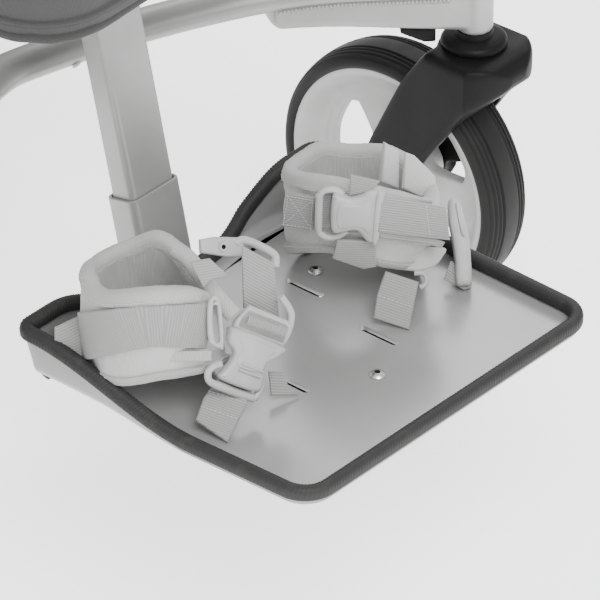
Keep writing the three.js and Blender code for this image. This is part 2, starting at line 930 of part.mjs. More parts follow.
// The rear axle: a tube between the wheels with a thinner stub and a cap through each wheel
function rearAxleSolid() {
  const shoulder = rearWheelX - rimHubWidth / 2 - clearance;
  const capStart = rearWheelX + rimHubWidth / 2 + clearance;
  const tube = crossRod(rearAxleRadius, -shoulder, shoulder, rearAxleY, rearWheelRadius);
  const stub = crossRod(rearStubRadius, -capStart - overrun, capStart + overrun, rearAxleY, rearWheelRadius, pinSides);
  const caps = sides.map(({ sign }) =>
    crossRod(rearCapRadius, sign * capStart, sign * (capStart + rearCapWidth), rearAxleY, rearWheelRadius, pinSides),
  );
  return join(tube, stub, ...caps);
}

// The pedal: a foot bar on two arms that hang from collars on the axle tube
function pedalSolid() {
  const barY = rearAxleY + pedalReach;
  const barZ = rearWheelRadius + pedalDrop;
  const bar = crossRod(pedalBarRadius, -pedalBarLength / 2, pedalBarLength / 2, barY, barZ, tubeSides);
  const arms = sides.map(({ sign }) => {
    const x = sign * pedalArmHalf;
    const half = pedalArmWidth / 2;
    const collar = crossRod(pedalCollarRadius, x - half, x + half, rearAxleY, rearWheelRadius);
    const arm = rod(pedalArmWidth / 2, at(x, rearAxleY, rearWheelRadius), at(x, barY, barZ), tubeSides);
    return join(collar, arm);
  });
  const half = pedalArmHalf + pedalArmWidth;
  const bore = crossBore(rearAxleRadius, -half, half, rearAxleY, rearWheelRadius);
  return cut(join(bar, ...arms), bore);
}

add("rear_axle", rearAxleSolid(), silverPaint);
add("brake_pedal", pedalSolid(), darkPlastic);
for (const { name, sign } of sides) {
  const x = sign * rearWheelX;
  const bore = boreRadius(rearStubRadius, wheelSides);
  add(
    "rear_tyre_" + name,
    tyreSolid(rearWheelRadius, rearTyreWidth, rearBeadRadius, x, rearAxleY, rearWheelRadius),
    rubber,
  );
  add(
    "rear_rim_" + name,
    rimSolid(rearBeadRadius, rearSpokeCount, bore, x, rearAxleY, rearWheelRadius),
    rimPlastic,
  );
}

// Handle

// A point out along the handle from the hub, at a distance across from the middle
function alongHandle(x, distance) {
  return at(x, hubY + distance * Math.cos(handleLift), hubZ + distance * Math.sin(handleLift));
}

const discInnerX = frameX + hubWidth / 2 + clearance;
const discOuterX = discInnerX + handleDiscWidth;

for (const { name, sign } of sides) {
  const x = sign * handleX;
  const end = alongHandle(x, handleLength);
  const disc = crossRod(handleDiscRadius, sign * discInnerX, sign * discOuterX, hubY, hubZ);
  const arm = rod(handleTubeRadius, alongHandle(x, 0), end);
  const endDisc = crossRod(
    angleDiscRadius,
    sign * (handleX - angleDiscWidth),
    sign * handleX,
    end.y,
    end.z,
  );
  const barSpace = crossRod(
    boreRadius(angleDiscRadius, roundSides),
    sign * handleX,
    sign * (handleX + angleDiscWidth + overrun),
    end.y,
    end.z,
  );
  const well = crossBore(
    buttonRadius,
    sign * (discOuterX - buttonTravel - buttonProud),
    sign * (discOuterX + overrun),
    hubY,
    hubZ,
    pinSides,
  );
  const hole = crossBore(
    buttonStemRadius,
    sign * (discInnerX - overrun),
    sign * (discOuterX + overrun),
    hubY,
    hubZ,
    pinSides,
  );
  add("handle_arm_" + name, cut(join(disc, arm, endDisc), barSpace, well, hole), silverPaint);

  const head = crossRod(
    buttonRadius,
    sign * (discOuterX - buttonProud + clearance),
    sign * (discOuterX + buttonProud),
    hubY,
    hubZ,
    pinSides,
  );
  const stem = crossRod(
    buttonStemRadius,
    sign * (frameX - hubWidth / 2 + buttonTravel),
    sign * discOuterX,
    hubY,
    hubZ,
    pinSides,
  );
  add("fold_button_" + name, join(head, stem), darkPlastic);
}

// The bar across the top, with its bends and the discs of its two angle joints
function handleBarSolid() {
  const x = handleX + clearance + angleDiscWidth / 2;
  const corners = [
    alongHandle(-x, handleLength),
    alongHandle(-x, handleLength + handleBarReach),
    alongHandle(x, handleLength + handleBarReach),
    alongHandle(x, handleLength),
  ];
  const facing = alongHandle(0, 0).sub(alongHandle(0, 1)).cross(across).normalize();
  const tube = sweep(bentPath(corners, handleBendRadius), ellipse(handleBarRadius, handleBarRadius), facing);
  const discs = sides.map(({ sign }) =>
    crossRod(
      angleDiscRadius,
      sign * (handleX + clearance),
      sign * (handleX + clearance + angleDiscWidth),
      alongHandle(0, handleLength).y,
      alongHandle(0, handleLength).z,
    ),
  );
  const inside = sides.map(({ sign }) =>
    crossRod(
      angleDiscRadius + overrun,
      sign * (handleX + clearance - handleBarRadius),
      sign * (handleX + clearance),
      alongHandle(0, handleLength).y,
      alongHandle(0, handleLength).z,
    ),
  );
  return cut(join(tube, ...discs), ...inside);
}

// The foam sleeve on the bar
function gripSolid() {
  const middle = alongHandle(0, handleLength + handleBarReach);
  const half = gripLength / 2;
  const bore = boreRadius(handleBarRadius, roundSides);
  const profile = [
    [-half, bore],
    [-half, gripRadius],
    [half, gripRadius],
    [half, bore],
    [-half, bore],
  ];
  return turned(profile, middle, roundSides);
}

add("handle_bar", handleBarSolid(), silverPaint);
add("handle_grip", gripSolid(), foam);

// Cushions

// From the crown out to the edge and under: shares of the outline's size and of the thickness
const cushionProfileShares = [
  [0.35, 1],
  [0.68, 0.97],
  [0.87, 0.88],
  [0.96, 0.72],
  [1, 0.48],
  [0.985, 0.22],
  [0.96, 0.06],
  [0.93, 0],
];

// How high a cushion's face stands at a share of the way out to its edge
function cushionRiseShare(share) {
  const next = cushionProfileShares.findIndex(([out]) => out >= share);
  if (next <= 0) {
    return 1;
  }
  const [innerOut, innerRise] = cushionProfileShares[next - 1];
  const [outerOut, outerRise] = cushionProfileShares[next];
  return innerRise + ((outerRise - innerRise) * (share - innerOut)) / (outerOut - innerOut);
}

// A cushion's outline: a rectangle with round corners whose sides pull in between them
function cushionOutline(width, length, radius) {
  const shape = roundedRectangle(width, length, radius);
  const corners = shape.getPoints(cornerSteps);
  corners.pop();
  const points = [];
  corners.forEach((corner, i) => {
    const next = corners[(i + 1) % corners.length];
    points.push(corner);
    if (corner.distanceTo(next) > 2 * radius) {
      for (let k = 1; k < cornerSteps; k += 1) {
        points.push(corner.clone().lerp(next, k / cornerSteps));
      }
    }
  });
  return points.map((point) => {
    const alongShare = Math.max(0, 1 - (2 * point.y / length) ** 2);
    const acrossShare = Math.max(0, 1 - (2 * point.x / width) ** 2);
    const x = point.x - Math.sign(point.x) * cushionDrawIn * alongShare ** 2;
    const y = point.y - Math.sign(point.y) * cushionDrawIn * acrossShare ** 2;
    return new THREE.Vector2(x, y);
  });
}

// A crowned cushion; "place" turns across, along and rise into a point
function cushion(width, length, thickness, radius, place) {
  const outline = cushionOutline(width, length, radius);
  const rings = cushionProfileShares.map(([outShare, riseShare]) =>
    outline.map((point) => place(point.x * outShare, point.y * outShare, thickness * riseShare)),
  );
  return loft(rings);
}

// Seat frame, board, cushion and lap belt

// A point of the seat cushion, from its middle
function seatPoint(x, y, rise) {
  return at(x, (seatFrontY + seatRearY) / 2 + y, seatBaseZ + rise);
}

// The seat frame: two rails with tilt lugs and recline uprights, and a bar between them
function seatFrameSolid() {
  const length = railRearY - railFrontY;
  const bar = block(2 * railX, seatBarDepth, railHeight, at(0, seatBarY, railZ));
  const rails = sides.map(({ sign }) => {
    const x = sign * railX;
    const rail = block(railWidth, length, railHeight, at(x, railFrontY + length / 2, railZ));
    const lug = crossRod(lugRadius, x - lugThickness / 2, x + lugThickness / 2, tiltY, tiltZ);
    const upright = block(
      uprightWidth,
      uprightDepth,
      reclineZ - railZ,
      at(x, reclineY, (reclineZ + railZ) / 2),
    );
    const top = crossRod(uprightDepth / 2, x - uprightWidth / 2, x + uprightWidth / 2, reclineY, reclineZ);
    return join(rail, lug, upright, top);
  });
  const reach = railX + railWidth;
  const tiltBore = crossBore(tiltTubeRadius, -reach, reach, tiltY, tiltZ, tubeSides);
  const pinBore = crossBore(pivotPinRadius, -reach, reach, reclineY, reclineZ, pinSides);
  return cut(join(bar, ...rails), tiltBore, pinBore);
}

// The board under the seat cushion
function seatBoardSolid() {
  const front = seatFrontY + boardInset;
  const rear = seatRearY - boardInset / 2;
  const shape = roundedRectangle(seatWidth - 2 * boardInset, rear - front, seatCornerRadius - boardInset);
  const geometry = extruded(shape, boardThickness);
  return solid(geometry.translate(0, (front + rear) / 2, boardTopZ - boardThickness / 2));
}

// A line of points moved out to its left by a distance, seen along -Y
function offsetLine(points, distance) {
  return points.map((point, i) => {
    const before = points[Math.max(i - 1, 0)];
    const after = points[Math.min(i + 1, points.length - 1)];
    const along = after.clone().sub(before).normalize();
    return point.clone().addScaledVector(back.clone().cross(along), -distance);
  });
}

// The belt's line over the cushion, from one board edge to the other
function beltLine() {
  const half = seatWidth / 2;
  const face = cushionProfileShares.slice(0, -2).map(([outShare, riseShare]) => {
    return seatPoint(outShare * half, 0, riseShare * seatThickness);
  });
  const over = offsetLine(face, softGap + webbingThickness / 2);
  const footZ = boardTopZ - boardThickness / 2;
  const turn = at(over[over.length - 1].x, 0, footZ);
  const foot = at(half - boardInset + clearance, 0, footZ);
  const right = [...over, turn, foot].map((point) => at(point.x, beltY, point.z));
  const left = right.map((point) => at(-point.x, point.y, point.z)).reverse();
  return [...left, ...right];
}

// A clip: a flat block with round corners, lying across X and Y
function clipSolid(width, length, thickness, corner, centre) {
  const shape = roundedRectangle(width, length, corner);
  return solid(extruded(shape, thickness).translate(centre.x, centre.y, centre.z));
}

add("seat_frame", seatFrameSolid(), silverPaint);
add("seat_board", seatBoardSolid(), darkPlastic);
add("seat_pad", cushion(seatWidth, seatRearY - seatFrontY, seatThickness, seatCornerRadius, seatPoint), darkFabric);
add("lap_belt", sweep(beltLine(), band(webbingThickness, webbingWidth), back), greyWebbing);
add(
  "belt_buckle",
  clipSolid(
    buckleLength,
    buckleWidth,
    buckleThickness,
    buckleCorner,
    at(0, beltY, seatBaseZ + seatThickness + softGap + webbingThickness + clearance + buckleThickness / 2),
  ),
  darkPlastic,
);

// Back frame, its cushions and the shoulder harness

// A point of the back: across, up along the back, and out from its tubes towards the front
function backPoint(x, rise, out) {
  const y = reclineY + rise * Math.sin(backLean) - out * Math.cos(backLean);
  return at(x, y, reclineZ + rise * Math.cos(backLean) + out * Math.sin(backLean));
}

// A box lying along the back, between two rises
function backBlock(width, thickness, from, to, out) {
  const [w, t] = [width / 2, thickness / 2];
  const ring = (rise) => [
    backPoint(w, rise, out - t),
    backPoint(w, rise, out + t),
    backPoint(-w, rise, out + t),
    backPoint(-w, rise, out - t),
  ];
  return loft([ring(from), ring(to)]);
}

const padOut = backTubeRadius + backPlateThickness / 2 + clearance;

// The back frame: a bent tube, a low bar, a backing plate and the recline pins
function backFrameSolid() {
  const corners = [
    backPoint(-backTubeX, 0, 0),
    backPoint(-backTubeX, backTubeLength, 0),
    backPoint(backTubeX, backTubeLength, 0),
    backPoint(backTubeX, 0, 0),
  ];
  const facing = backPoint(0, 0, 1).sub(backPoint(0, 0, 0));
  const tube = sweep(bentPath(corners, backBendRadius), ellipse(backTubeRadius, backTubeRadius), facing);
  const ends = sides.map(({ sign }) =>
    crossRod(
      backTubeRadius,
      sign * (backTubeX - backTubeRadius),
      sign * (backTubeX + backTubeRadius),
      reclineY,
      reclineZ,
    ),
  );
  const bar = rod(backTubeRadius, backPoint(-backTubeX, backBarLift, 0), backPoint(backTubeX, backBarLift, 0));
  const plate = backBlock(
    2 * backTubeX,
    backPlateThickness,
    backBarLift,
    backTubeLength - backBendRadius,
    backTubeRadius,
  );
  const pinEnd = railX + uprightWidth / 2 + pinHeadWidth;
  const pins = sides.map(({ sign }) =>
    crossRod(pivotPinRadius, sign * backTubeX, sign * pinEnd, reclineY, reclineZ, pinSides),
  );
  return join(tube, bar, plate, ...ends, ...pins);
}

// A cushion on the back, from a rise upwards
function backCushion(width, length, thickness, start) {
  return cushion(width, length, thickness, padCornerRadius, (x, y, rise) =>
    backPoint(x, start + length / 2 + y, padOut + rise),
  );
}

// One shoulder strap's line over the face of the back cushion
function harnessLine(sign) {
  const half = backPadLength / 2;
  const middle = backPadStart + half;
  const near = (harnessX - webbingWidth / 2) / (backPadWidth / 2);
  const stops = [harnessStart, chestStrapPlace, harnessEnd];
  cushionProfileShares.forEach(([outShare]) => {
    stops.push(middle - outShare * half, middle + outShare * half);
  });
  const inside = stops.filter((rise) => rise >= harnessStart && rise <= harnessEnd).sort((a, b) => a - b);
  return inside.map((rise) => {
    const share = Math.max(near, Math.abs(rise - middle) / half);
    const out = padOut + cushionRiseShare(share) * backPadThickness + softGap + webbingThickness / 2;
    return backPoint(sign * harnessX, rise, out);
  });
}

// The harness: two shoulder straps joined by a chest strap
function harnessSolid() {
  const section = band(webbingWidth, webbingThickness);
  const facing = backPoint(0, 0, 1).sub(backPoint(0, 0, 0));
  const straps = sides.map(({ sign }) => sweep(harnessLine(sign), section, facing));
  const out = padOut + backPadThickness + softGap + webbingThickness / 2;
  const chest = backBlock(
    2 * harnessX,
    webbingThickness,
    chestStrapPlace - webbingWidth / 2,
    chestStrapPlace + webbingWidth / 2,
    out,
  );
  return join(chest, ...straps);
}

const headPadStart = backTubeLength + headPadProud - headPadLength;
add("back_frame", backFrameSolid(), silverPaint);
add("back_pad", backCushion(backPadWidth, backPadLength, backPadThickness, backPadStart), darkFabric);
add("head_pad", backCushion(headPadWidth, headPadLength, headPadThickness, headPadStart), darkFabric);
add("shoulder_harness", harnessSolid(), greyWebbing);

// Leg rest

// The middle of the hanger at a height
function hangerAxis(z) {
  return at(0, hangerTopY + (z - hangerTopZ) * Math.tan(hangerLean), z);
}

// A rounded rectangular bar along the hanger between two heights
function hangerPrism(width, depth, radius, fromZ, toZ) {
  const length = (toZ - fromZ) / Math.cos(hangerLean);
  const geometry = extruded(roundedRectangle(width, depth, radius), length);
  const alongHanger = at(0, Math.sin(hangerLean), Math.cos(hangerLean));
  geometry.applyMatrix4(
    new THREE.Matrix4().makeBasis(across, alongHanger.clone().cross(across), alongHanger),
  );
  const middle = hangerAxis((fromZ + toZ) / 2);
  return solid(geometry.translate(middle.x, middle.y, middle.z));
}

// The hanger tube: open below, closed and rounded at its pivot
function hangerTubeSolid() {
  const tube = hangerPrism(hangerWidth, hangerDepth, hangerCornerRadius, hangerBottomZ, hangerTopZ);
  const head = crossRod(hangerDepth / 2, -hangerWidth / 2, hangerWidth / 2, hangerTopY, hangerTopZ);
  const hollow = hangerPrism(
    hangerWidth - 2 * hangerWall,
    hangerDepth - 2 * hangerWall,
    hangerCornerRadius - hangerWall,
    hangerBottomZ - overrun,
    hangerTopZ - hangerDepth,
  );
  const bore = crossBore(hangerPinRadius, -hangerWidth, hangerWidth, hangerTopY, hangerTopZ, pinSides);
  return cut(join(tube, head), hollow, bore);
}

const cheekInner = hangerWidth / 2 + clearance;
const cheekOuter = cheekInner + bracketThickness;

// The bracket under the seat: a bar between the rails with two cheeks for the pivot
function hangerBracketSolid() {
  const barLength = 2 * (railX - railWidth / 2 - clearance);
  const bar = block(barLength, seatBarDepth, railHeight, at(0, bracketBarY, railZ));
  const cheeks = sides.map(({ sign }) => {
    const x = (sign * (cheekInner + cheekOuter)) / 2;
    const nose = crossRod(bracketRadius, sign * cheekInner, sign * cheekOuter, hangerTopY, hangerTopZ);
    const plate = block(
      bracketThickness,
      bracketBarY - hangerTopY,
      railHeight,
      at(x, (bracketBarY + hangerTopY) / 2, railZ),
    );
    return join(nose, plate);
  });
  const bore = crossBore(hangerPinRadius, -hangerWidth, hangerWidth, hangerTopY, hangerTopZ, pinSides);
  return cut(join(bar, ...cheeks), bore);
}

// A headed pin across the middle
function pinSolid(radius, headRadius, reach, y, z) {
  const shaft = crossRod(radius, -reach, reach, y, z, pinSides);
  const heads = sides.map(({ sign }) =>
    crossRod(headRadius, sign * reach, sign * (reach + pinHeadWidth), y, z, pinSides),
  );
  return join(shaft, ...heads);
}

const sleeveWidth = hangerWidth + 2 * (sleeveClearance + sleeveWall);
const sleeveDepth = hangerDepth + 2 * (sleeveClearance + sleeveWall);

// The clamp boss's middle line: a point behind the hanger at the clamp's height
function behindHanger(distance) {
  return hangerAxis(clampZ).add(at(0, Math.cos(hangerLean), -Math.sin(hangerLean)).multiplyScalar(distance));
}

// The sleeve: it slides on the hanger and carries the ankle hinge and the clamp boss
function sleeveSolid() {
  const outer = hangerPrism(sleeveWidth, sleeveDepth, sleeveCornerRadius, sleeveBottomZ, sleeveTopZ);
  const hollow = hangerPrism(
    hangerWidth + 2 * sleeveClearance,
    hangerDepth + 2 * sleeveClearance,
    hangerCornerRadius,
    sleeveBottomZ - sleeveDepth,
    sleeveTopZ + sleeveDepth,
  );
  const knuckle = crossRod(ankleRadius, -ankleWidth / 2, ankleWidth / 2, ankleY, ankleZ);
  const reach = hangerAxis(ankleZ).y - ankleY;
  const link = block(ankleWidth, reach, 2 * ankleRadius - 2 * pinHeadWidth, at(0, ankleY + reach / 2, ankleZ));
  const boss = rod(clampBossRadius, behindHanger(0), behindHanger(sleeveDepth / 2 + clampBossLength), pinSides);
  const pinBore = crossBore(anklePinRadius, -ankleWidth, ankleWidth, ankleY, ankleZ, pinSides);
  const screwBore = rod(
    boreRadius(clampScrewRadius, pinSides),
    behindHanger(hangerDepth / 2 - hangerWall),
    behindHanger(sleeveDepth / 2 + clampBossLength + overrun),
    pinSides,
  );
  return cut(join(outer, knuckle, link, boss), hollow, pinBore, screwBore);
}

// The clamp knob: a lobed head on a screw that ends at the hanger's rear face
function clampKnobSolid() {
  const shape = new THREE.Shape();
  const count = 6 * clampKnobLobes;
  for (let i = 0; i < count; i += 1) {
    const turn = (2 * Math.PI * i) / count;
    const radius = clampKnobRadius + clampKnobLobe * Math.cos(clampKnobLobes * turn);
    const [x, y] = [radius * Math.cos(turn), radius * Math.sin(turn)];
    if (i) {
      shape.lineTo(x, y);
    } else {
      shape.moveTo(x, y);
    }
  }
  const geometry = extruded(shape, clampKnobWidth);
  const outwards = behindHanger(1).sub(behindHanger(0)).normalize();
  geometry.applyQuaternion(new THREE.Quaternion().setFromUnitVectors(up, outwards));
  const start = sleeveDepth / 2 + clampBossLength + clampNeck;
  const middle = behindHanger(start + clampKnobWidth / 2);
  const head = solid(geometry.translate(middle.x, middle.y, middle.z));
  const screw = rod(clampScrewRadius, behindHanger(hangerDepth / 2 + clearance), middle, pinSides);
  return join(head, screw);
}

add("hanger_bracket", hangerBracketSolid(), silverPaint);
add(
  "hanger_pin",
  pinSolid(hangerPinRadius, pinHeadRadius, cheekOuter + clearance, hangerTopY, hangerTopZ),
  steel,
);
add("hanger_tube", hangerTubeSolid(), silverPaint);
add("hanger_sleeve", sleeveSolid(), silverPaint);
add("clamp_knob", clampKnobSolid(), darkPlastic);

// Footplate, trim and bracket

// The pan's top edge in plan: points with the way out from the pan, anticlockwise from the rear
function plateEdge() {
  const rear = plateRearY - plateRearRadius;
  const rightFront = plateFrontY + plateFrontRadius;
  const leftFront = rightFront - plateFrontSkew;
  const centres = [
    [plateRearHalf - plateRearRadius, rear, plateRearRadius],
    [-(plateRearHalf - plateRearRadius), rear, plateRearRadius],
    [-(plateFrontHalf - plateFrontRadius), rightFront, plateFrontRadius],
    [plateFrontHalf - plateFrontRadius, leftFront, plateFrontRadius],
  ];
  const corners = centres.flatMap(([x, y, radius], quarter) =>
    Array.from({ length: cornerSteps + 1 }, (_, k) => {
      const turn = ((quarter + k / cornerSteps) * Math.PI) / 2;
      return { x: x + radius * Math.cos(turn), y: y + radius * Math.sin(turn), turn };
    }),
  );
  const edge = [];
  corners.forEach((corner, i) => {
    const next = corners[(i + 1) % corners.length];
    edge.push(corner);
    if (corner.turn === next.turn || i === corners.length - 1) {
      for (let k = 1; k < plateSideSteps; k += 1) {
        const share = k / plateSideSteps;
        const x = corner.x + (next.x - corner.x) * share;
        edge.push({ x, y: corner.y + (next.y - corner.y) * share, turn: corner.turn });
      }
    }
  });
  return edge.map(({ x, y, turn }) => {
    const middleShare = y > rear ? Math.max(0, 1 - (x / (2 * plateMiddleHalf)) ** 2) : 0;
    const height = plateLipHeight + plateWallHeight * wallShare(x, y);
    return { x, y: y - plateMiddleDip * middleShare, outX: Math.cos(turn), outY: Math.sin(turn), height };
  });
}

// How much of the full wall stands at a point of the edge
function wallShare(x, y) {
  const rear = plateRearY - plateRearRadius;
  const alongShare = THREE.MathUtils.smoothstep(y, plateRearY - plateWallReach, rear);
  const acrossShare = THREE.MathUtils.smoothstep(Math.abs(x), plateMiddleHalf, plateWallHalf);
  return y > rear ? acrossShare : alongShare;
}

// A ring of the pan: its edge moved in by an inset and lifted to a height
function plateRing(edge, insetOf, liftOf) {
  return edge.map((point) => {
    const inset = insetOf(point);
    return at(point.x - point.outX * inset, point.y - point.outY * inset, plateZ + liftOf(point));
  });
}

// The pan, its slots and its screw holes
function footPlateSolid() {
  const edge = plateEdge();
  const wall = plateThickness;
  const lean = (point) => (point.height - plateLipHeight) * plateWallLeanShare;
  const rings = [
    plateRing(edge, (p) => wall + lean(p) + plateFootWidth, () => 0),
    plateRing(edge, (p) => wall + lean(p) + wall, () => 0),
    plateRing(edge, (p) => wall + lean(p), (p) => (p.height - plateLipGrip) / 3),
    plateRing(edge, () => wall, (p) => p.height - plateLipGrip),
    plateRing(edge, () => wall, (p) => p.height),
    plateRing(edge, () => 0, (p) => p.height),
    plateRing(edge, () => 0, (p) => p.height - plateLipGrip),
    plateRing(edge, lean, () => -wall / 3),
    plateRing(edge, (p) => lean(p) + wall, () => -wall),
  ];
  const holes = screwPlaces().map(({ x, y }) =>
    rod(boreRadius(screwRadius, pinSides), at(x, y, plateZ - plateWallHeight), at(x, y, plateZ + overrun), pinSides),
  );
  return cut(loft(rings), ...slotTools(), ...holes);
}

// Bars that cut the strap slots through the pan and the strips under it
function slotTools() {
  const depth = plateThickness + 2 * footBracketThickness;
  return slotPlaces.map(({ x, y }) => block(slotWidth, slotLength, 2 * depth, at(x, y, plateZ)));
}

// The edge trim: a channel that grips the pan's lip all the way round
function plateTrimSolid() {
  const line = plateRing(plateEdge(), () => plateThickness / 2, (point) => point.height);
  const half = trimWidth / 2;
  const slot = plateThickness / 2 + clearance;
  const chamfer = half / 2;
  const section = [
    [-half, -plateLipGrip],
    [-half + chamfer, trimTop],
    [half - chamfer, trimTop],
    [half, -plateLipGrip],
    [slot, -plateLipGrip],
    [slot, clearance],
    [-slot, clearance],
    [-slot, -plateLipGrip],
  ];
  return sweep(line, section, up, true);
}

// Where the three screws pass through the pan
function screwPlaces() {
  return [
    { x: 0, y: frontScrewY },
    { x: rearScrewX, y: rearScrewY },
    { x: -rearScrewX, y: rearScrewY },
  ];
}

// The bracket: strips under the pan, ears for the ankle hinge, and the screws into the pan
function plateBracketSolid() {
  const topZ = plateZ - plateThickness - clearance;
  const z = topZ - footBracketThickness / 2;
  const rearEnd = ankleY + ankleRadius;
  const frontEnd = frontScrewY - footBracketWidth / 2;
  const spine = block(
    footBracketWidth + 2 * footEarThickness,
    rearEnd - frontEnd,
    footBracketThickness,
    at(0, (rearEnd + frontEnd) / 2, z),
  );
  const wide = block(2 * footBracketReach, footBracketWidth, footBracketThickness, at(0, footBracketY, z));
  const rearSpan = 2 * rearScrewX + footBracketWidth;
  const rear = block(rearSpan, footBracketWidth, footBracketThickness, at(0, rearScrewY, z));
  const earInner = ankleWidth / 2 + clearance;
  const ears = sides.map(({ sign }) => {
    const x = sign * (earInner + footEarThickness / 2);
    const disc = crossRod(ankleRadius, sign * earInner, sign * (earInner + footEarThickness), ankleY, ankleZ);
    const web = block(footEarThickness, 2 * ankleRadius, z - ankleZ, at(x, ankleY, (z + ankleZ) / 2));
    return join(disc, web);
  });
  const screws = screwPlaces().flatMap(({ x, y }) => [
    rod(screwRadius, at(x, y, z), at(x, y, plateZ + clearance + screwHeadHeight / 2), pinSides),
    rod(screwHeadRadius, at(x, y, plateZ + clearance), at(x, y, plateZ + clearance + screwHeadHeight), pinSides),
  ]);
  const bore = crossBore(anklePinRadius, -footBracketWidth, footBracketWidth, ankleY, ankleZ, pinSides);
  return cut(join(spine, wide, rear, ...ears, ...screws), bore, ...slotTools());
}

const anklePinReach = ankleWidth / 2 + 2 * clearance + footEarThickness;
add("foot_plate", footPlateSolid(), greyPlate);
add("plate_trim", plateTrimSolid(), rubber);
add("plate_bracket", plateBracketSolid(), darkPlastic);
add("ankle_pin", pinSolid(anklePinRadius, ankleRadius - pinHeadWidth, anklePinReach, ankleY, ankleZ), steel);

// Ankle cuffs with their webbing and buckles

// The band's section, as shares of its wall and of its height
const cuffSectionShares = [
  [-0.46, 0.04],
  [-0.62, 0.5],
  [-0.46, 0.95],
  [0, 1],
  [0.46, 0.95],
  [0.6, 0.5],
  [0.46, 0.04],
  [0, 0],
];

// The lower and upper edge of a cuff's wall at an angle, above the pan
function cuffEdges(angle) {
  const frontShare = (1 - Math.sin(angle)) / 2;
  return {
    foot: clearance + cuffFrontLift * frontShare,
    top: cuffRearHeight + (cuffFrontHeight - cuffRearHeight) * frontShare,
  };
}

// A point round a cuff: an angle, a distance out from the middle of its wall, and a rise share
function cuffPoint(cuff, angle, out, riseShare) {
  const { foot, top } = cuffEdges(angle);
  const flare = cuffTopFlare * riseShare;
  const x = (cuff.halfWidth + flare + out) * Math.cos(angle);
  const y = (cuff.halfDepth + flare + out) * Math.sin(angle);
  const place = new THREE.Vector2(x, y).rotateAround(new THREE.Vector2(), cuff.turn);
  return at(
    cuff.x + place.x + cuff.leanX * riseShare,
    cuff.y + place.y + cuff.leanY * riseShare,
    plateZ + foot + (top - foot) * riseShare,
  );
}

// A point outside a cuff at a height above the pan
function besideCuff(cuff, angle, out, lift) {
  const { foot, top } = cuffEdges(angle);
  return cuffPoint(cuff, angle, out, (lift - foot) / (top - foot));
}

// The padded band
function cuffSolid(cuff) {
  const rings = Array.from({ length: cuffSteps }, (_, i) => {
    const angle = (2 * Math.PI * i) / cuffSteps;
    return cuffSectionShares.map(([outShare, rise]) => cuffPoint(cuff, angle, outShare * cuffWall, rise));
  });
  return loft(rings, true);
}

const strapOutShare = 0.62;
const strapOut = cuffWall * strapOutShare + clearance;

// The webbing band round the outside of the cuff
function cuffStrapSolid(cuff) {
  const rings = Array.from({ length: cuffSteps }, (_, i) => {
    const angle = (2 * Math.PI * i) / cuffSteps;
    const ring = [
      [0, strapLift],
      [webbingThickness, strapLift],
      [webbingThickness, strapLift + webbingWidth],
      [0, strapLift + webbingWidth],
    ];
    return ring.map(([out, lift]) => besideCuff(cuff, angle, strapOut + out, lift));
  });
  return loft(rings, true);
}

// The level way out from a cuff at an angle and a height
function awayFromCuff(cuff, angle, lift) {
  const near = besideCuff(cuff, angle, 0, lift);
  return besideCuff(cuff, angle, cuffWall, lift).sub(near).setZ(0).normalize();
}

// A clip standing against the webbing at an angle round the cuff
function cuffClipSolid(cuff, angle) {
  const out = strapOut + webbingThickness + clipGap + clipThickness / 2;
  const low = besideCuff(cuff, angle, out, strapLift);
  const high = besideCuff(cuff, angle, out, strapLift + webbingWidth);
  const place = low.clone().lerp(high, 1 / 2);
  const rise = high.clone().sub(low).normalize();
  const along = rise.clone().cross(awayFromCuff(cuff, angle, strapLift)).normalize();
  const facing = along.clone().cross(rise);
  const geometry = extruded(roundedRectangle(clipLength, clipWidth, clipCorner), clipThickness);
  geometry.applyMatrix4(new THREE.Matrix4().makeBasis(along, rise, facing));
  return solid(geometry.translate(place.x, place.y, place.z));
}

// The loose end of the webbing, hanging from under the band down to the pan
function strapTailSolid(cuff) {
  const topLift = strapLift + (webbingWidth - clipWidth) / 2 - clearance;
  const start = besideCuff(cuff, cuff.tail, strapOut + webbingThickness, topLift);
  const outwards = awayFromCuff(cuff, cuff.tail, topLift);
  const fall = topLift - clearance - webbingThickness / 2;
  const line = tailShares.map(([outShare, fallShare]) => {
    return start.clone().addScaledVector(outwards, outShare * tailLength).addScaledVector(up, -fallShare * fall);
  });
  return sweep(line, band(webbingThickness, webbingWidth), up.clone().cross(outwards).negate());
}

// The tail's line: shares of the way out and of the way down
const tailShares = [[0, 0], [0.12, 0.3], [0.45, 0.78], [1, 1]];

for (const { name } of sides) {
  const cuff = cuffs[name];
  add("ankle_cuff_" + name, cuffSolid(cuff), paleFabric);
  add("cuff_strap_" + name, cuffStrapSolid(cuff), greyWebbing);
  add("front_clip_" + name, cuffClipSolid(cuff, cuff.frontClip), palePlastic);
  add("side_clip_" + name, cuffClipSolid(cuff, cuff.sideClip), palePlastic);
  add("strap_tail_" + name, strapTailSolid(cuff), greyWebbing);
}

// The origin: the middle of the footprint, on the floor
const bounds = new THREE.Box3().setFromObject(stroller);
stroller.position.set(0, -(bounds.min.y + bounds.max.y) / 2, 0);

export default stroller;
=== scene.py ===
"""The looks of a special needs stroller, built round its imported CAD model.

Places and sizes are millimetres from the middle of the footplate on the floor, +Z up and -Y the
front. A finished mesh is in metres in the frame of the CAD model.
"""

from __future__ import annotations

import logging
import math
from dataclasses import dataclass, field
from enum import Enum
from typing import Callable, Sequence

import bmesh
import bpy
import numpy as np
from mathutils import Matrix, Vector, noise
from mathutils.bvhtree import BVHTree


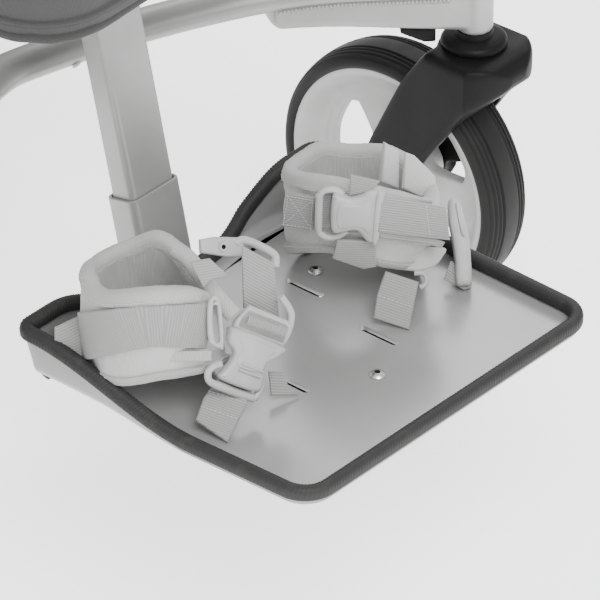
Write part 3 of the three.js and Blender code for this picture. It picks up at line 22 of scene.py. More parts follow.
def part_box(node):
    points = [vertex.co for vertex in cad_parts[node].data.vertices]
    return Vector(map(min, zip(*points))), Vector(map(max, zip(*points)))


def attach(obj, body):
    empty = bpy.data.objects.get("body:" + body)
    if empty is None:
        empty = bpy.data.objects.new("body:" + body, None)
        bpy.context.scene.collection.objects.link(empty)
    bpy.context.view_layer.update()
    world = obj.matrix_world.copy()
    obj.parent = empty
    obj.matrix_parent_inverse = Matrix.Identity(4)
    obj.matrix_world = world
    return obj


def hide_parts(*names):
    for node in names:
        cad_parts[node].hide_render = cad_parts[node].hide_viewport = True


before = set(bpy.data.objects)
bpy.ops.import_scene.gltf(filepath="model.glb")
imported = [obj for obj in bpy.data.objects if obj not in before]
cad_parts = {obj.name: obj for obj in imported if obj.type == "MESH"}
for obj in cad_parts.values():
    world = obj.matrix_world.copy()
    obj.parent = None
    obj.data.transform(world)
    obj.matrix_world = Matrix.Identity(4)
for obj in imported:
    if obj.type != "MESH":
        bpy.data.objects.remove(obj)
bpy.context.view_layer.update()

LOG = logging.getLogger("stroller")
METRE = 0.001
REAR_AXLE_Y = 680.0
AXLE_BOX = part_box("rear_axle")
SHIFT_Y = (AXLE_BOX[0].y + AXLE_BOX[1].y) / 2 / METRE - REAR_AXLE_Y
UP = Vector((0, 0, 1))
ACROSS = Vector((1, 0, 0))
REAR = Vector((0, 1, 0))
SIDES = {"r": -1, "l": 1}

Pair = tuple[float, float]
Ring = list[Vector]


def at(x: float, y: float, z: float) -> Vector:
    """A point in millimetres."""
    return Vector((x, y, z))


def placed(point: Vector) -> Vector:
    """The point in metres in the frame of the CAD model."""
    return Vector((point.x, point.y + SHIFT_Y, point.z)) * METRE


# Shapes


@dataclass
class Skin:
    """Points and faces of one piece, with a place on the cloth for each corner."""

    points: list[Vector] = field(default_factory=list)
    faces: list[tuple[int, ...]] = field(default_factory=list)
    cloth: list[Pair] = field(default_factory=list)

    def loft(self, rings: Sequence[Ring], wrap: bool = True, loop: bool = False) -> Skin:
        """Joins rings of points into a skin, closed at its ends.

        Args:
            rings: rings with equal counts of points.
            wrap: whether each ring closes on itself.
            loop: whether the last ring runs into the first.

        Returns:
            This skin.
        """
        base, count = len(self.points), len(rings[0])
        self.points += [point for ring in rings for point in ring]
        spans = len(rings) if loop else len(rings) - 1
        across, along = [0.0], [0.0]
        for k in range(count):
            across.append(across[-1] + (rings[0][(k + 1) % count] - rings[0][k]).length)
        for i in range(spans):
            step = sum(((rings[(i + 1) % len(rings)][k] - rings[i][k]).length for k in (0, count // 2)))
            along.append(along[-1] + step / 2)
        for i in range(spans):
            j = (i + 1) % len(rings)
            for k in range(count if wrap else count - 1):
                n = (k + 1) % count
                corners = (i * count + k, i * count + n, j * count + n, j * count + k)
                self.faces.append(tuple(base + q for q in corners))
                self.cloth += [
                    (across[k], along[i]),
                    (across[k + 1], along[i]),
                    (across[k + 1], along[i + 1]),
                    (across[k], along[i + 1]),
                ]
        if wrap and not loop:
            for end in (0, len(rings) - 1):
                face = [base + end * count + k for k in range(count)]
                self.faces.append(tuple(face if end else face[::-1]))
                self.cloth += [(across[k], along[end]) for k in range(count)]
        return self

    def add(self, other: Skin) -> Skin:
        """Takes in the other skin's points and faces."""
        base = len(self.points)
        self.points += other.points
        self.faces += [tuple(base + q for q in face) for face in other.faces]
        self.cloth += other.cloth
        return self

    def moved(self, matrix: Matrix) -> Skin:
        """A copy of this skin with a matrix applied."""
        return Skin([matrix @ point for point in self.points], list(self.faces), list(self.cloth))

    def bent(self, change: Callable[[Vector], Vector]) -> Skin:
        """A copy of this skin with a change made to each point."""
        return Skin([change(point) for point in self.points], list(self.faces), list(self.cloth))

    def mesh(self, name: str) -> bpy.types.Mesh:
        """This skin as a closed mesh in millimetres, its faces pointing out."""
        mesh = bpy.data.meshes.new(name)
        mesh.from_pydata([tuple(point) for point in self.points], [], self.faces)
        layer = mesh.uv_layers.new(name="cloth")
        layer.data.foreach_set("uv", [value for pair in self.cloth for value in pair])
        shape = bmesh.new()
        shape.from_mesh(mesh)
        bmesh.ops.remove_doubles(shape, verts=shape.verts, dist=0.001)
        bmesh.ops.recalc_face_normals(shape, faces=shape.faces)
        shape.to_mesh(mesh)
        shape.free()
        return mesh


def skin_of(mesh: bpy.types.Mesh) -> Skin:
    """A mesh as a skin; its cloth places are zero where it has none."""
    layer = mesh.uv_layers.active
    flat = [0.0] * (2 * len(mesh.loops))
    if layer:
        layer.data.foreach_get("uv", flat)
    return Skin(
        [vertex.co.copy() for vertex in mesh.vertices],
        [tuple(polygon.vertices) for polygon in mesh.polygons],
        list(zip(flat[::2], flat[1::2])),
    )


def oval(half_width: float, half_height: float, count: int = 32) -> list[Pair]:
    """The outline of an ellipse."""
    turns = [2 * math.pi * i / count for i in range(count)]
    return [(half_width * math.cos(turn), half_height * math.sin(turn)) for turn in turns]


def rounded(width: float, height: float, radius: float, steps: int = 5) -> list[Pair]:
    """The outline of a rectangle with round corners, anticlockwise."""
    outline = []
    for quarter, (sx, sy) in enumerate(((1, 1), (-1, 1), (-1, -1), (1, -1))):
        for k in range(steps + 1):
            turn = (quarter + k / steps) * math.pi / 2
            outline.append(
                (
                    sx * (width / 2 - radius) + radius * math.cos(turn),
                    sy * (height / 2 - radius) + radius * math.sin(turn),
                )
            )
    return outline


def spline(places: Sequence[Sequence[float]], step: float, closed: bool = False) -> list[Vector]:
    """Evenly spaced points of a smooth curve through places.

    Args:
        places: the points that the curve passes, in two or three dimensions.
        step: the distance between the points returned.
        closed: whether the curve runs back to its start.

    Returns:
        Points along the curve; a closed curve doesn't repeat its first.
    """
    knots = np.array([list(place) + [0.0] * (3 - len(place)) for place in places], float)
    if closed:
        padded = np.vstack([knots[-1], knots, knots[0], knots[1]])
    else:
        padded = np.vstack([2 * knots[0] - knots[1], knots, 2 * knots[-1] - knots[-2]])
    fine = []
    for i in range(1, len(padded) - 2):
        p, q, r, s = padded[i - 1 : i + 3]
        t = np.linspace(0, 1, 24, endpoint=False)[:, None]
        fine.append(0.5 * (2 * q + (r - p) * t + (2 * p - 5 * q + 4 * r - s) * t**2
            + (3 * q - p - 3 * r + s) * t**3))
    line = np.vstack(fine + [padded[-2][None]])
    lengths = np.concatenate([[0], np.cumsum(np.linalg.norm(np.diff(line, axis=0), axis=1))])
    count = max(2, int(round(lengths[-1] / step)))
    stops = np.linspace(0, lengths[-1], count + 1)
    if closed:
        stops = stops[:-1]
    return [Vector([np.interp(stop, lengths, line[:, axis]) for axis in range(3)]) for stop in stops]


def tangents(points: Sequence[Vector], loop: bool = False) -> list[Vector]:
    """The direction of a line of points at each of them."""
    last = len(points) - 1
    found = []
    for i in range(len(points)):
        before = points[(i - 1) % (last + 1)] if loop else points[max(i - 1, 0)]
        after = points[(i + 1) % (last + 1)] if loop else points[min(i + 1, last)]
        found.append((after - before).normalized())
    return found


def sweep(
    points: Sequence[Vector],
    section: Sequence[Pair],
    lift: Vector | Sequence[Vector] = UP,
    loop: bool = False,
) -> Skin:
    """Carries a section of side and rise pairs along points.

    Args:
        points: the line that the section follows.
        section: pairs of a distance to the side and a distance towards the lift.
        lift: the way that the rise keeps to, one for all points or one for each.
        loop: whether the line closes on itself.

    Returns:
        The swept skin.
    """
    rings = []
    for i, (point, along) in enumerate(zip(points, tangents(points, loop))):
        way = lift if isinstance(lift, Vector) else lift[i]
        side = along.cross(way).normalized()
        rise = side.cross(along)
        rings.append([point + side * s + rise * r for s, r in section])
    return Skin().loft(rings, loop=loop)


def turned(profile: Sequence[Pair], centre: Vector, axis: Vector = ACROSS, count: int = 48) -> Skin:
    """A turned skin; its profile is pairs of a place along the axis and a radius, run round closed."""
    side = (REAR if abs(axis.y) < 0.9 else UP).cross(axis).normalized()
    other = axis.cross(side)
    rings = []
    for i in range(count):
        turn = 2 * math.pi * i / count
        way = side * math.cos(turn) + other * math.sin(turn)
        rings.append([centre + axis * along + way * radius for along, radius in profile])
    return Skin().loft(rings, loop=True)


def rod(radius: float, start: Vector, end: Vector, edge: float = 0.0, count: int = 32) -> Skin:
    """A round bar between two points, its end edges rolled."""
    line = (end - start).length
    axis = (end - start).normalized()
    profile = [(0, radius - edge), (edge, radius)] if edge else [(0, radius)]
    rings = []
    side = (REAR if abs(axis.y) < 0.9 else UP).cross(axis).normalized()
    other = axis.cross(side)
    for along, r in profile + [(line - a, r) for a, r in reversed(profile)]:
        turns = [2 * math.pi * i / count for i in range(count)]
        rings.append([start + axis * along + (side * math.cos(t) + other * math.sin(t)) * r for t in turns])
    return Skin().loft(rings)


def sheet_of(
    outline: Sequence[Pair],
    thickness: float,
    edge: float,
    holes: Sequence[Sequence[Pair]] = (),
) -> Skin:
    """A flat plate with rolled edges and holes, about the plane z = 0.

    Args:
        outline: the plate's outer line.
        thickness: its full thickness.
        edge: the radius of its rolled edges.
        holes: the lines of its openings.

    Returns:
        The plate's skin.
    """
    curve = bpy.data.curves.new("plate", "CURVE")
    curve.dimensions = "2D"
    curve.fill_mode = "BOTH"
    curve.extrude = thickness / 2 - edge
    curve.bevel_depth = edge
    curve.bevel_resolution = 2
    curve.offset = -edge
    for line in (outline, *holes):
        path = curve.splines.new("POLY")
        path.points.add(len(line) - 1)
        path.points.foreach_set("co", [value for x, y in line for value in (x, y, 0, 1)])
        path.use_cyclic_u = True
    holder = bpy.data.objects.new("plate", curve)
    bpy.context.scene.collection.objects.link(holder)
    mesh = evaluated(holder)
    skin = skin_of(mesh)
    skin.cloth = [(0.0, 0.0)] * sum(len(face) for face in skin.faces)
    bpy.data.objects.remove(holder)
    bpy.data.curves.remove(curve)
    return skin


def evaluated(thing: bpy.types.Object) -> bpy.types.Mesh:
    """The mesh of an object with its modifiers applied."""
    bpy.context.view_layer.update()
    graph = bpy.context.evaluated_depsgraph_get()
    return bpy.data.meshes.new_from_object(thing.evaluated_get(graph), depsgraph=graph)


def basis(along: Vector, rise: Vector, place: Vector) -> Matrix:
    """A matrix that takes X to along, Y to the rise and the origin to a place."""
    x = along.normalized()
    z = x.cross(rise).normalized()
    y = z.cross(x)
    return Matrix.Translation(place) @ Matrix((x, y, z)).transposed().to_4x4()


@dataclass
class Sculpt:
    """A form made from overlapping skins, cut, remeshed and smoothed."""

    voxel: float
    rounds: int
    factor: float = 0.5

    def made(self, skins: Sequence[Skin], cuts: Sequence[Skin] = ()) -> Skin:
        """Joins the skins, takes the cuts out of them and smooths what is left.

        Args:
            skins: closed skins that overlap.
            cuts: closed skins to take away.

        Returns:
            The smoothed skin.
        """
        whole = Skin()
        for skin in skins:
            whole.add(skin)
        thing = bpy.data.objects.new("sculpt", whole.mesh("sculpt"))
        bpy.context.scene.collection.objects.link(thing)
        self._remesh(thing)
        helpers = []
        for number, cut in enumerate(cuts):
            helper = bpy.data.objects.new(f"cut{number}", cut.mesh("cut"))
            bpy.context.scene.collection.objects.link(helper)
            helpers.append(helper)
            change = thing.modifiers.new("cut", "BOOLEAN")
            change.operation, change.solver, change.object = "DIFFERENCE", "EXACT", helper
        if cuts:
            self._remesh(thing)
        change = thing.modifiers.new("smooth", "SMOOTH")
        change.factor, change.iterations = self.factor, self.rounds
        skin = skin_of(evaluated(thing))
        for other in (thing, *helpers):
            bpy.data.objects.remove(other)
        return skin

    def _remesh(self, thing: bpy.types.Object) -> None:
        """Adds a voxel remesh."""
        change = thing.modifiers.new("remesh", "REMESH")
        change.mode, change.voxel_size = "VOXEL", self.voxel


# Finishes


class Value:
    """A number socket; Python's operators add Math nodes to it."""

    def __init__(self, board: Board, socket: bpy.types.NodeSocket) -> None:
        """Keeps the socket and the board that it is on."""
        self.board, self.socket = board, socket

    def _math(self, operation: str, *values: Value | float) -> Value:
        """A Math node's result on some values."""
        node = self.board.node("ShaderNodeMath", {"operation": operation}, dict(enumerate(values)))
        return Value(self.board, node.outputs[0])

    def __add__(self, other: Value | float) -> Value:
        """The sum."""
        return self._math("ADD", self, other)

    def __radd__(self, other: float) -> Value:
        """The sum."""
        return self._math("ADD", other, self)

    def __sub__(self, other: Value | float) -> Value:
        """The difference."""
        return self._math("SUBTRACT", self, other)

    def __rsub__(self, other: float) -> Value:
        """The difference from a number."""
        return self._math("SUBTRACT", other, self)

    def __mul__(self, other: Value | float) -> Value:
        """The product."""
        return self._math("MULTIPLY", self, other)

    def __rmul__(self, other: float) -> Value:
        """The product."""
        return self._math("MULTIPLY", other, self)

    def wave(self) -> Value:
        """The sine, between 0 and 1."""
        return self._math("SINE", self) * 0.5 + 0.5

    def over(self, low: float, high: float) -> Value:
        """A smooth step from 0 at low to 1 at high."""
        settings = {"interpolation_type": "SMOOTHSTEP"}
        node = self.board.node("ShaderNodeMapRange", settings, {0: self, 1: low, 2: high})
        return Value(self.board, node.outputs[0])


class Board:
    """A material's nodes."""

    def __init__(self, name: str) -> None:
        """Makes an empty material."""
        self.material = bpy.data.materials.new(name)
        self.material.use_nodes = True
        self.tree = self.material.node_tree
        self.tree.nodes.clear()
        self.place = self.node("ShaderNodeTexCoord").outputs["Object"]
        self.cloth = self.node("ShaderNodeUVMap", {"uv_map": "cloth"}).outputs["UV"]

    def node(
        self,
        kind: str,
        settings: dict[str, object] | None = None,
        inputs: dict[str | int, object] | None = None,
    ) -> bpy.types.Node:
        """Adds a node.

        Args:
            kind: the node's type.
            settings: its own properties, set first.
            inputs: its sockets by name or number, as values or links.

        Returns:
            The node.
        """
        made = self.tree.nodes.new(kind)
        for key, value in (settings or {}).items():
            setattr(made, key, value)
        for key, value in (inputs or {}).items():
            socket = made.inputs[key]
            if isinstance(value, Value):
                self.tree.links.new(value.socket, socket)
            elif isinstance(value, bpy.types.NodeSocket):
                self.tree.links.new(value, socket)
            else:
                socket.default_value = value
        return made

    def noise(
        self, size: float, detail: float = 2.0, stretch: tuple[float, float, float] = (1, 1, 1)
    ) -> Value:
        """Noise between 0 and 1 whose lumps measure about a size in metres."""
        scaled = self.node("ShaderNodeMapping", None, {"Vector": self.place, "Scale": stretch})
        inputs = {"Vector": scaled.outputs[0], "Scale": 1 / size, "Detail": detail}
        return Value(self, self.node("ShaderNodeTexNoise", None, inputs).outputs[0])

    def cells(self, size: float) -> Value:
        """The distance to the nearest of scattered points, for grain and pores."""
        inputs = {"Vector": self.place, "Scale": 1 / size}
        return Value(self, self.node("ShaderNodeTexVoronoi", None, inputs).outputs["Distance"])

    def on_cloth(self) -> tuple[Value, Value]:
        """The places across and along the cloth, in millimetres."""
        split = self.node("ShaderNodeSeparateXYZ", None, {0: self.cloth})
        return Value(self, split.outputs[0]), Value(self, split.outputs[1])

    def in_space(self) -> tuple[Value, Value, Value]:
        """The place in the object's own space, in metres."""
        split = self.node("ShaderNodeSeparateXYZ", None, {0: self.place})
        return tuple(Value(self, output) for output in split.outputs)

    def tones(self, share: Value, low: Sequence[float], high: Sequence[float]) -> bpy.types.NodeSocket:
        """A colour between two, mixed by a share."""
        settings = {"data_type": "RGBA"}
        inputs = {0: share, 6: (*low, 1.0), 7: (*high, 1.0)}
        return self.node("ShaderNodeMix", settings, inputs).outputs[2]

    def bump(self, height: Value, depth: float, strength: float = 1.0) -> bpy.types.NodeSocket:
        """A normal from a height, of a depth in metres."""
        inputs = {"Height": height, "Distance": depth, "Strength": strength}
        return self.node("ShaderNodeBump", None, inputs).outputs[0]

    def surface(self, **sockets: object) -> bpy.types.Material:
        """Ends the material in a Principled shader with the sockets given."""
        inputs = {key.replace("_", " ").title(): value for key, value in sockets.items()}
        names = {"Ior": "IOR", "Specular Ior Level": "Specular IOR Level"}
        inputs = {names.get(key, key): value for key, value in inputs.items()}
        shader = self.node("ShaderNodeBsdfPrincipled", None, inputs)
        self.node("ShaderNodeOutputMaterial", None, {"Surface": shader.outputs[0]})
        return self.material


def grey(level: float, warmth: float = 0.0) -> tuple[float, float, float]:
    """A grey of a level, a little warmer where warmth is positive."""
    return (level * (1 + warmth), level, level * (1 - warmth))


@dataclass(frozen=True)
class Finish:
    """What every finish has: a name, the record's slot and its middle grey."""

    name: str
    slot: str
    level: float
    warmth: float = 0.006

    def material(self) -> bpy.types.Material:
        """The finish's material, made once."""
        found = bpy.data.materials.get(self.name)
        return found or self._make(Board(self.name))

    def _make(self, board: Board) -> bpy.types.Material:
        """Fills the board."""
        raise NotImplementedError

    def _mottled(self, board: Board, size: float, spread: float) -> bpy.types.NodeSocket:
        """The finish's grey, varied by a share over lumps of a size in metres."""
        share = board.noise(size, 3).over(0.3, 0.7)
        low, high = self.level * (1 - spread), self.level * (1 + spread)
        return board.tones(share, grey(low, self.warmth), grey(high, self.warmth / 2))


@dataclass(frozen=True)
class SatinPaint(Finish):
    """Silver paint on metal: fine flakes, a faint orange peel and dull patches."""

    metallic: float = 0.55
    roughness: float = 0.36

    def _make(self, board: Board) -> bpy.types.Material:
        """Fills the board."""
        flakes = board.cells(0.0007)
        peel = board.noise(0.0035, 2)
        dull = board.noise(0.05, 4).over(0.35, 0.75)
        return board.surface(
            base_color=self._mottled(board, 0.03, 0.035),
            metallic=self.metallic,
            roughness=dull * 0.07 + flakes * 0.05 + self.roughness,
            normal=board.bump(peel * 0.8 + flakes * 0.2, 0.00008),
        )


@dataclass(frozen=True)
class GlossPlate(Finish):
    """Smooth grey sheet with a soft gloss, rubbed dull in streaks."""

    roughness: float = 0.24
    metallic: float = 0.25

    def _make(self, board: Board) -> bpy.types.Material:
        """Fills the board."""
        streaks = board.noise(0.02, 4, (1, 0.25, 1)).over(0.3, 0.8)
        return board.surface(
            base_color=self._mottled(board, 0.06, 0.03),
            metallic=self.metallic,
            roughness=streaks * 0.03 + self.roughness,
            coat_weight=0.15,
            coat_roughness=0.2,
        )


@dataclass(frozen=True)
class Moulded(Finish):
    """Moulded plastic: a fine spark-eroded grain and slight flow marks."""

    roughness: float = 0.42
    grain: float = 0.00005
    gloss: float = 0.5

    def _make(self, board: Board) -> bpy.types.Material:
        """Fills the board."""
        grain = board.cells(0.0009)
        flow = board.noise(0.02, 3, (1, 1, 0.4)).over(0.3, 0.75)
        return board.surface(
            base_color=self._mottled(board, 0.018, 0.06),
            roughness=flow * 0.08 + grain * 0.1 + self.roughness,
            specular_ior_level=self.gloss,
            normal=board.bump(grain, self.grain),
        )


@dataclass(frozen=True)
class Rubber(Finish):
    """Tyre and trim rubber: matt, with fine pits and pale dust in patches."""

    roughness: float = 0.55
    dust: float = 1.5

    def _make(self, board: Board) -> bpy.types.Material:
        """Fills the board."""
        dust = board.noise(0.012, 5).over(0.5, 0.85)
        pits = board.cells(0.0006)
        low, high = grey(self.level, self.warmth), grey(self.level * self.dust, 0.03)
        return board.surface(
            base_color=board.tones(dust, low, high),
            roughness=dust * 0.15 + self.roughness,
            specular_ior_level=0.18,
            normal=board.bump(pits, 0.00006),
        )


@dataclass(frozen=True)
class Plated(Finish):
    """Bright plated steel with fine turning marks."""

    roughness: float = 0.2

    def _make(self, board: Board) -> bpy.types.Material:
        """Fills the board."""
        marks = board.noise(0.0015, 3, (1, 1, 6))
        return board.surface(
            base_color=self._mottled(board, 0.01, 0.05),
            metallic=1.0,
            roughness=marks * 0.15 + self.roughness,
            normal=board.bump(marks, 0.00002),
        )


@dataclass(frozen=True)
class Foam(Finish):
    """Closed cell foam: pores and a soft matt surface."""

    def _make(self, board: Board) -> bpy.types.Material:
        """Fills the board."""
        pores = board.cells(0.0012)
        return board.surface(
            base_color=self._mottled(board, 0.01, 0.1),
            roughness=pores * 0.1 + 0.8,
            normal=board.bump(pores, 0.0002),
        )


@dataclass(frozen=True)
class Woven(Finish):
    """Woven cloth: crossed threads, soft creases and a faint sheen."""

    thread: float = 0.0009
    depth: float = 0.00012
    sheen: float = 0.25

    def _make(self, board: Board) -> bpy.types.Material:
        """Fills the board."""
        pace = 2 * math.pi / self.thread
        x, y, z = board.in_space()
        threads = (x * pace).wave() * (y * pace).wave() + (z * pace).wave() * 0.5
        fuzz = board.noise(0.0006, 2)
        share = threads * 0.5 + board.noise(0.02, 4) * 0.5
        low, high = self.level * 0.86, self.level * 1.08
        return board.surface(
            base_color=board.tones(share, grey(low, self.warmth), grey(high, self.warmth)),
            roughness=fuzz * 0.1 + 0.86,
            sheen_weight=self.sheen,
            sheen_roughness=0.5,
            specular_ior_level=0.2,
            normal=board.bump(threads * 0.7 + fuzz * 0.6, self.depth),
        )


class Weave(Enum):
    """How the threads of a band lie."""

    ACROSS = "across"
    TWILL = "twill"


@dataclass(frozen=True)
class Band(Finish):
    """Webbing or binding tape: ribs that follow the band, and closer threads along them."""

    weave: Weave = Weave.ACROSS
    pitch: float = 1.7
    depth: float = 0.00025

    def _make(self, board: Board) -> bpy.types.Material:
        """Fills the board."""
        across, along = board.on_cloth()
        slant = across * 1.0 if self.weave is Weave.TWILL else across * 0.0
        ribs = ((along + slant) * (2 * math.pi / self.pitch)).wave()
        threads = (across * (2 * math.pi / 0.9) + ribs * 2.0).wave()
        fuzz = board.noise(0.0007, 2)
        share = ribs * 0.6 + threads * 0.2 + fuzz * 0.3
        return board.surface(
            base_color=board.tones(share, grey(self.level * 0.72, self.warmth),
                grey(self.level * 1.12, self.warmth)),
            roughness=fuzz * 0.1 + 0.8,
            sheen_weight=0.15,
            specular_ior_level=0.25,
            normal=board.bump(ribs * 0.8 + threads * 0.25 + fuzz * 0.2, self.depth),
        )


SILVER = SatinPaint("satin_silver", "silver_paint", 0.34, 0.01)
PLATE = GlossPlate("gloss_grey", "plate_grey", 0.3, 0.006)
DARK = Moulded("dark_moulding", "dark_plastic", 0.006, roughness=0.4, gloss=0.12)
PALE = Moulded("pale_moulding", "pale_plastic", 0.4, roughness=0.34)
RIM = Moulded("rim_moulding", "rim_plastic", 0.4, roughness=0.4)
STEEL = Plated("plated_steel", "steel", 0.7)
TYRE = Rubber("tyre_rubber_black", "tyre_rubber", 0.012)
TRIM = Rubber("trim_rubber_black", "trim_rubber", 0.03, roughness=0.5)
FOAM = Foam("grip_foam_black", "grip_foam", 0.03)
SEAT_CLOTH = Woven("seat_cloth", "dark_fabric", 0.052, 0.0, thread=0.0011)
CUFF_CLOTH = Woven("cuff_cloth", "pale_fabric", 0.48)
# The lining's grey, lower than the cuff cloth's, is painted shade for the inside of the cuff.
LINING = Woven("cuff_lining", "pale_fabric", 0.38, thread=0.0016, depth=0.00012)
WEBBING = Band("grey_webbing", "webbing", 0.3)
DARK_WEBBING = Band("dark_webbing", "webbing", 0.06)
BINDING = Band("twill_binding", "pale_fabric", 0.44, weave=Weave.TWILL, pitch=1.5)
DARK_BINDING = Band("seat_piping", "dark_fabric", 0.042, 0.0, weave=Weave.TWILL, pitch=1.6)
THREAD = Woven("sewing_thread", "pale_fabric", 0.55, thread=0.0005, depth=0.00005)
DARK_THREAD = Woven("seat_thread", "dark_fabric", 0.12, 0.0, thread=0.0005, depth=0.00005)


# Pieces


def piece(
    name: str,
    skin: Skin,
    finish: Finish,
    body: str,
    replaces: Sequence[str] = (),
    crease: float = 38.0,
    bevel: float = 0.0,
) -> bpy.types.Object:
    """Makes a finished piece from a skin and has it ride on its body.

    Args:
        name: the piece's name.
        skin: its shape in millimetres.
        finish: its finish.
        body: the CAD body it moves with.
        replaces: the CAD nodes it stands for.
        crease: edges sharper than this angle in degrees stay sharp.
        bevel: the width of a bevel on those edges, in millimetres.

    Returns:
        The piece.
    """
    mesh = skin.mesh(name)
    thing = bpy.data.objects.new(name, mesh)
    bpy.context.scene.collection.objects.link(thing)
    if bevel:
        change = thing.modifiers.new("bevel", "BEVEL")
        change.width, change.segments, change.limit_method = bevel, 3, "ANGLE"
        change.angle_limit = math.radians(crease)
        rolled = evaluated(thing)
        thing.modifiers.clear()
        thing.data = rolled
    flat = np.zeros(3 * len(thing.data.vertices))
    thing.data.vertices.foreach_get("co", flat)
    places = (flat.reshape(-1, 3) + (0, SHIFT_Y, 0)) * METRE
    thing.data.vertices.foreach_set("co", places.ravel())
    thing.data.shade_smooth()
    thing.data.set_sharp_from_angle(angle=math.radians(crease))
    thing.data.materials.clear()
    thing.data.materials.append(finish.material())
    thing.data.update()
    if replaces:
        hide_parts(*replaces)
    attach(thing, body)
    LOG.info("%s: %d faces on %s", name, len(thing.data.polygons), body)
    return thing


def dress(node: str, finish: Finish) -> None:
    """Gives a CAD node that stays in view its finish."""
    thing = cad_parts[node]
    if not thing.material_slots:
        thing.data.materials.append(finish.material())
    for slot in thing.material_slots:
        slot.material = finish.material()


@dataclass
class BeadLine:
    """Geometry Nodes that lay one small shape along a line: stitches, ribs and weld ripples."""

    pitch: float
    size: tuple[float, float, float]
    turn: float = 0.0
    sides: int = 6

    def along(
        self,
        points: Sequence[Vector],
        facing: Sequence[Vector],
        loop: bool = False,
    ) -> Skin:
        """Lays the beads along points.

        Args:
            points: the line, in millimetres.
            facing: the way out of the surface at each point.
            loop: whether the line closes on itself.

        Returns:
            The beads as one skin.
        """
        mesh = bpy.data.meshes.new("line")
        count = len(points)
        edges = [(i, (i + 1) % count) for i in range(count if loop else count - 1)]
        mesh.from_pydata([tuple(point) for point in points], edges, [])
        layer = mesh.attributes.new("facing", "FLOAT_VECTOR", "POINT")
        layer.data.foreach_set("vector", [value for way in facing for value in way])
        line = bpy.data.objects.new("line", mesh)
        bead = bpy.data.objects.new("bead", self._bead().mesh("bead"))
        for thing in (line, bead):
            bpy.context.scene.collection.objects.link(thing)
        change = line.modifiers.new("beads", "NODES")
        change.node_group = bead_tree()
        for item in change.node_group.interface.items_tree:
            if item.name == "Pitch":
                change[item.identifier] = self.pitch
            elif item.name == "Turn":
                change[item.identifier] = self.turn
            elif item.name == "Shape":
                change[item.identifier] = bead
            elif item.name == "Finish":
                change[item.identifier] = THREAD.material()
        skin = skin_of(evaluated(line))
        skin.cloth = [(0.0, 0.0)] * sum(len(face) for face in skin.faces)
        for thing in (line, bead):
            bpy.data.objects.remove(thing)
        return skin

    def _bead(self) -> Skin:
        """The small shape: a long rounded grain."""
        length, width, height = self.size
        rings = []
        for share in (0.0, 0.25, 0.75, 1.0):
            swell = math.sin(math.pi * (0.12 + 0.76 * share))
            x = (share - 0.5) * length
            rings.append([at(x, y * swell, z * swell) for y, z in oval(width / 2, height / 2, self.sides)])
        return Skin().loft(rings)


def bead_tree() -> bpy.types.NodeTree:
    """The Geometry Nodes tree that lays a shape along a line, made once."""
    name = "bead_line"
    found = bpy.data.node_groups.get(name)
    if found:
        return found
    tree = bpy.data.node_groups.new(name, "GeometryNodeTree")
    for label, kind in (
        ("Geometry", "NodeSocketGeometry"),
        ("Shape", "NodeSocketObject"),
        ("Pitch", "NodeSocketFloat"),
        ("Turn", "NodeSocketFloat"),
        ("Finish", "NodeSocketMaterial"),
    ):
        tree.interface.new_socket(label, in_out="INPUT", socket_type=kind)
    tree.interface.new_socket("Geometry", in_out="OUTPUT", socket_type="NodeSocketGeometry")

    def add(kind: str, settings: dict[str, object] | None = None) -> bpy.types.Node:
        """Adds a node with its settings."""
        node = tree.nodes.new(kind)
        for key, value in (settings or {}).items():
            setattr(node, key, value)
        return node

    given = add("NodeGroupInput")
    curve = add("GeometryNodeMeshToCurve")
    spaced = add("GeometryNodeResampleCurve", {"mode": "LENGTH"})
    tangent = add("GeometryNodeInputTangent")
    facing = add("GeometryNodeInputNamedAttribute", {"data_type": "FLOAT_VECTOR"})
    facing.inputs["Name"].default_value = "facing"
    axes = add("FunctionNodeAxesToRotation", {"primary_axis": "Z", "secondary_axis": "X"})
    spin = add("FunctionNodeRotateRotation", {"rotation_space": "LOCAL"})
    angles = add("ShaderNodeCombineXYZ")
    euler = add("FunctionNodeEulerToRotation")
    shape = add("GeometryNodeObjectInfo")
    instances = add("GeometryNodeInstanceOnPoints")
    real = add("GeometryNodeRealizeInstances")
    coat = add("GeometryNodeSetMaterial")
    result = add("NodeGroupOutput")
    for source, target in (
        (given.outputs["Geometry"], curve.inputs[0]),
        (curve.outputs[0], spaced.inputs["Curve"]),
        (given.outputs["Pitch"], spaced.inputs["Length"]),
        (facing.outputs["Attribute"], axes.inputs[0]),
        (tangent.outputs[0], axes.inputs[1]),
        (axes.outputs[0], spin.inputs[0]),
        (given.outputs["Turn"], angles.inputs[2]),
        (angles.outputs[0], euler.inputs[0]),
        (euler.outputs[0], spin.inputs[1]),
        (given.outputs["Shape"], shape.inputs[0]),
        (spaced.outputs[0], instances.inputs["Points"]),
        (shape.outputs["Geometry"], instances.inputs["Instance"]),
        (spin.outputs[0], instances.inputs["Rotation"]),
        (instances.outputs[0], real.inputs[0]),
        (real.outputs[0], coat.inputs["Geometry"]),
        (given.outputs["Finish"], coat.inputs["Material"]),
        (coat.outputs[0], result.inputs[0]),
    ):
        tree.links.new(source, target)
    return tree


# Stage


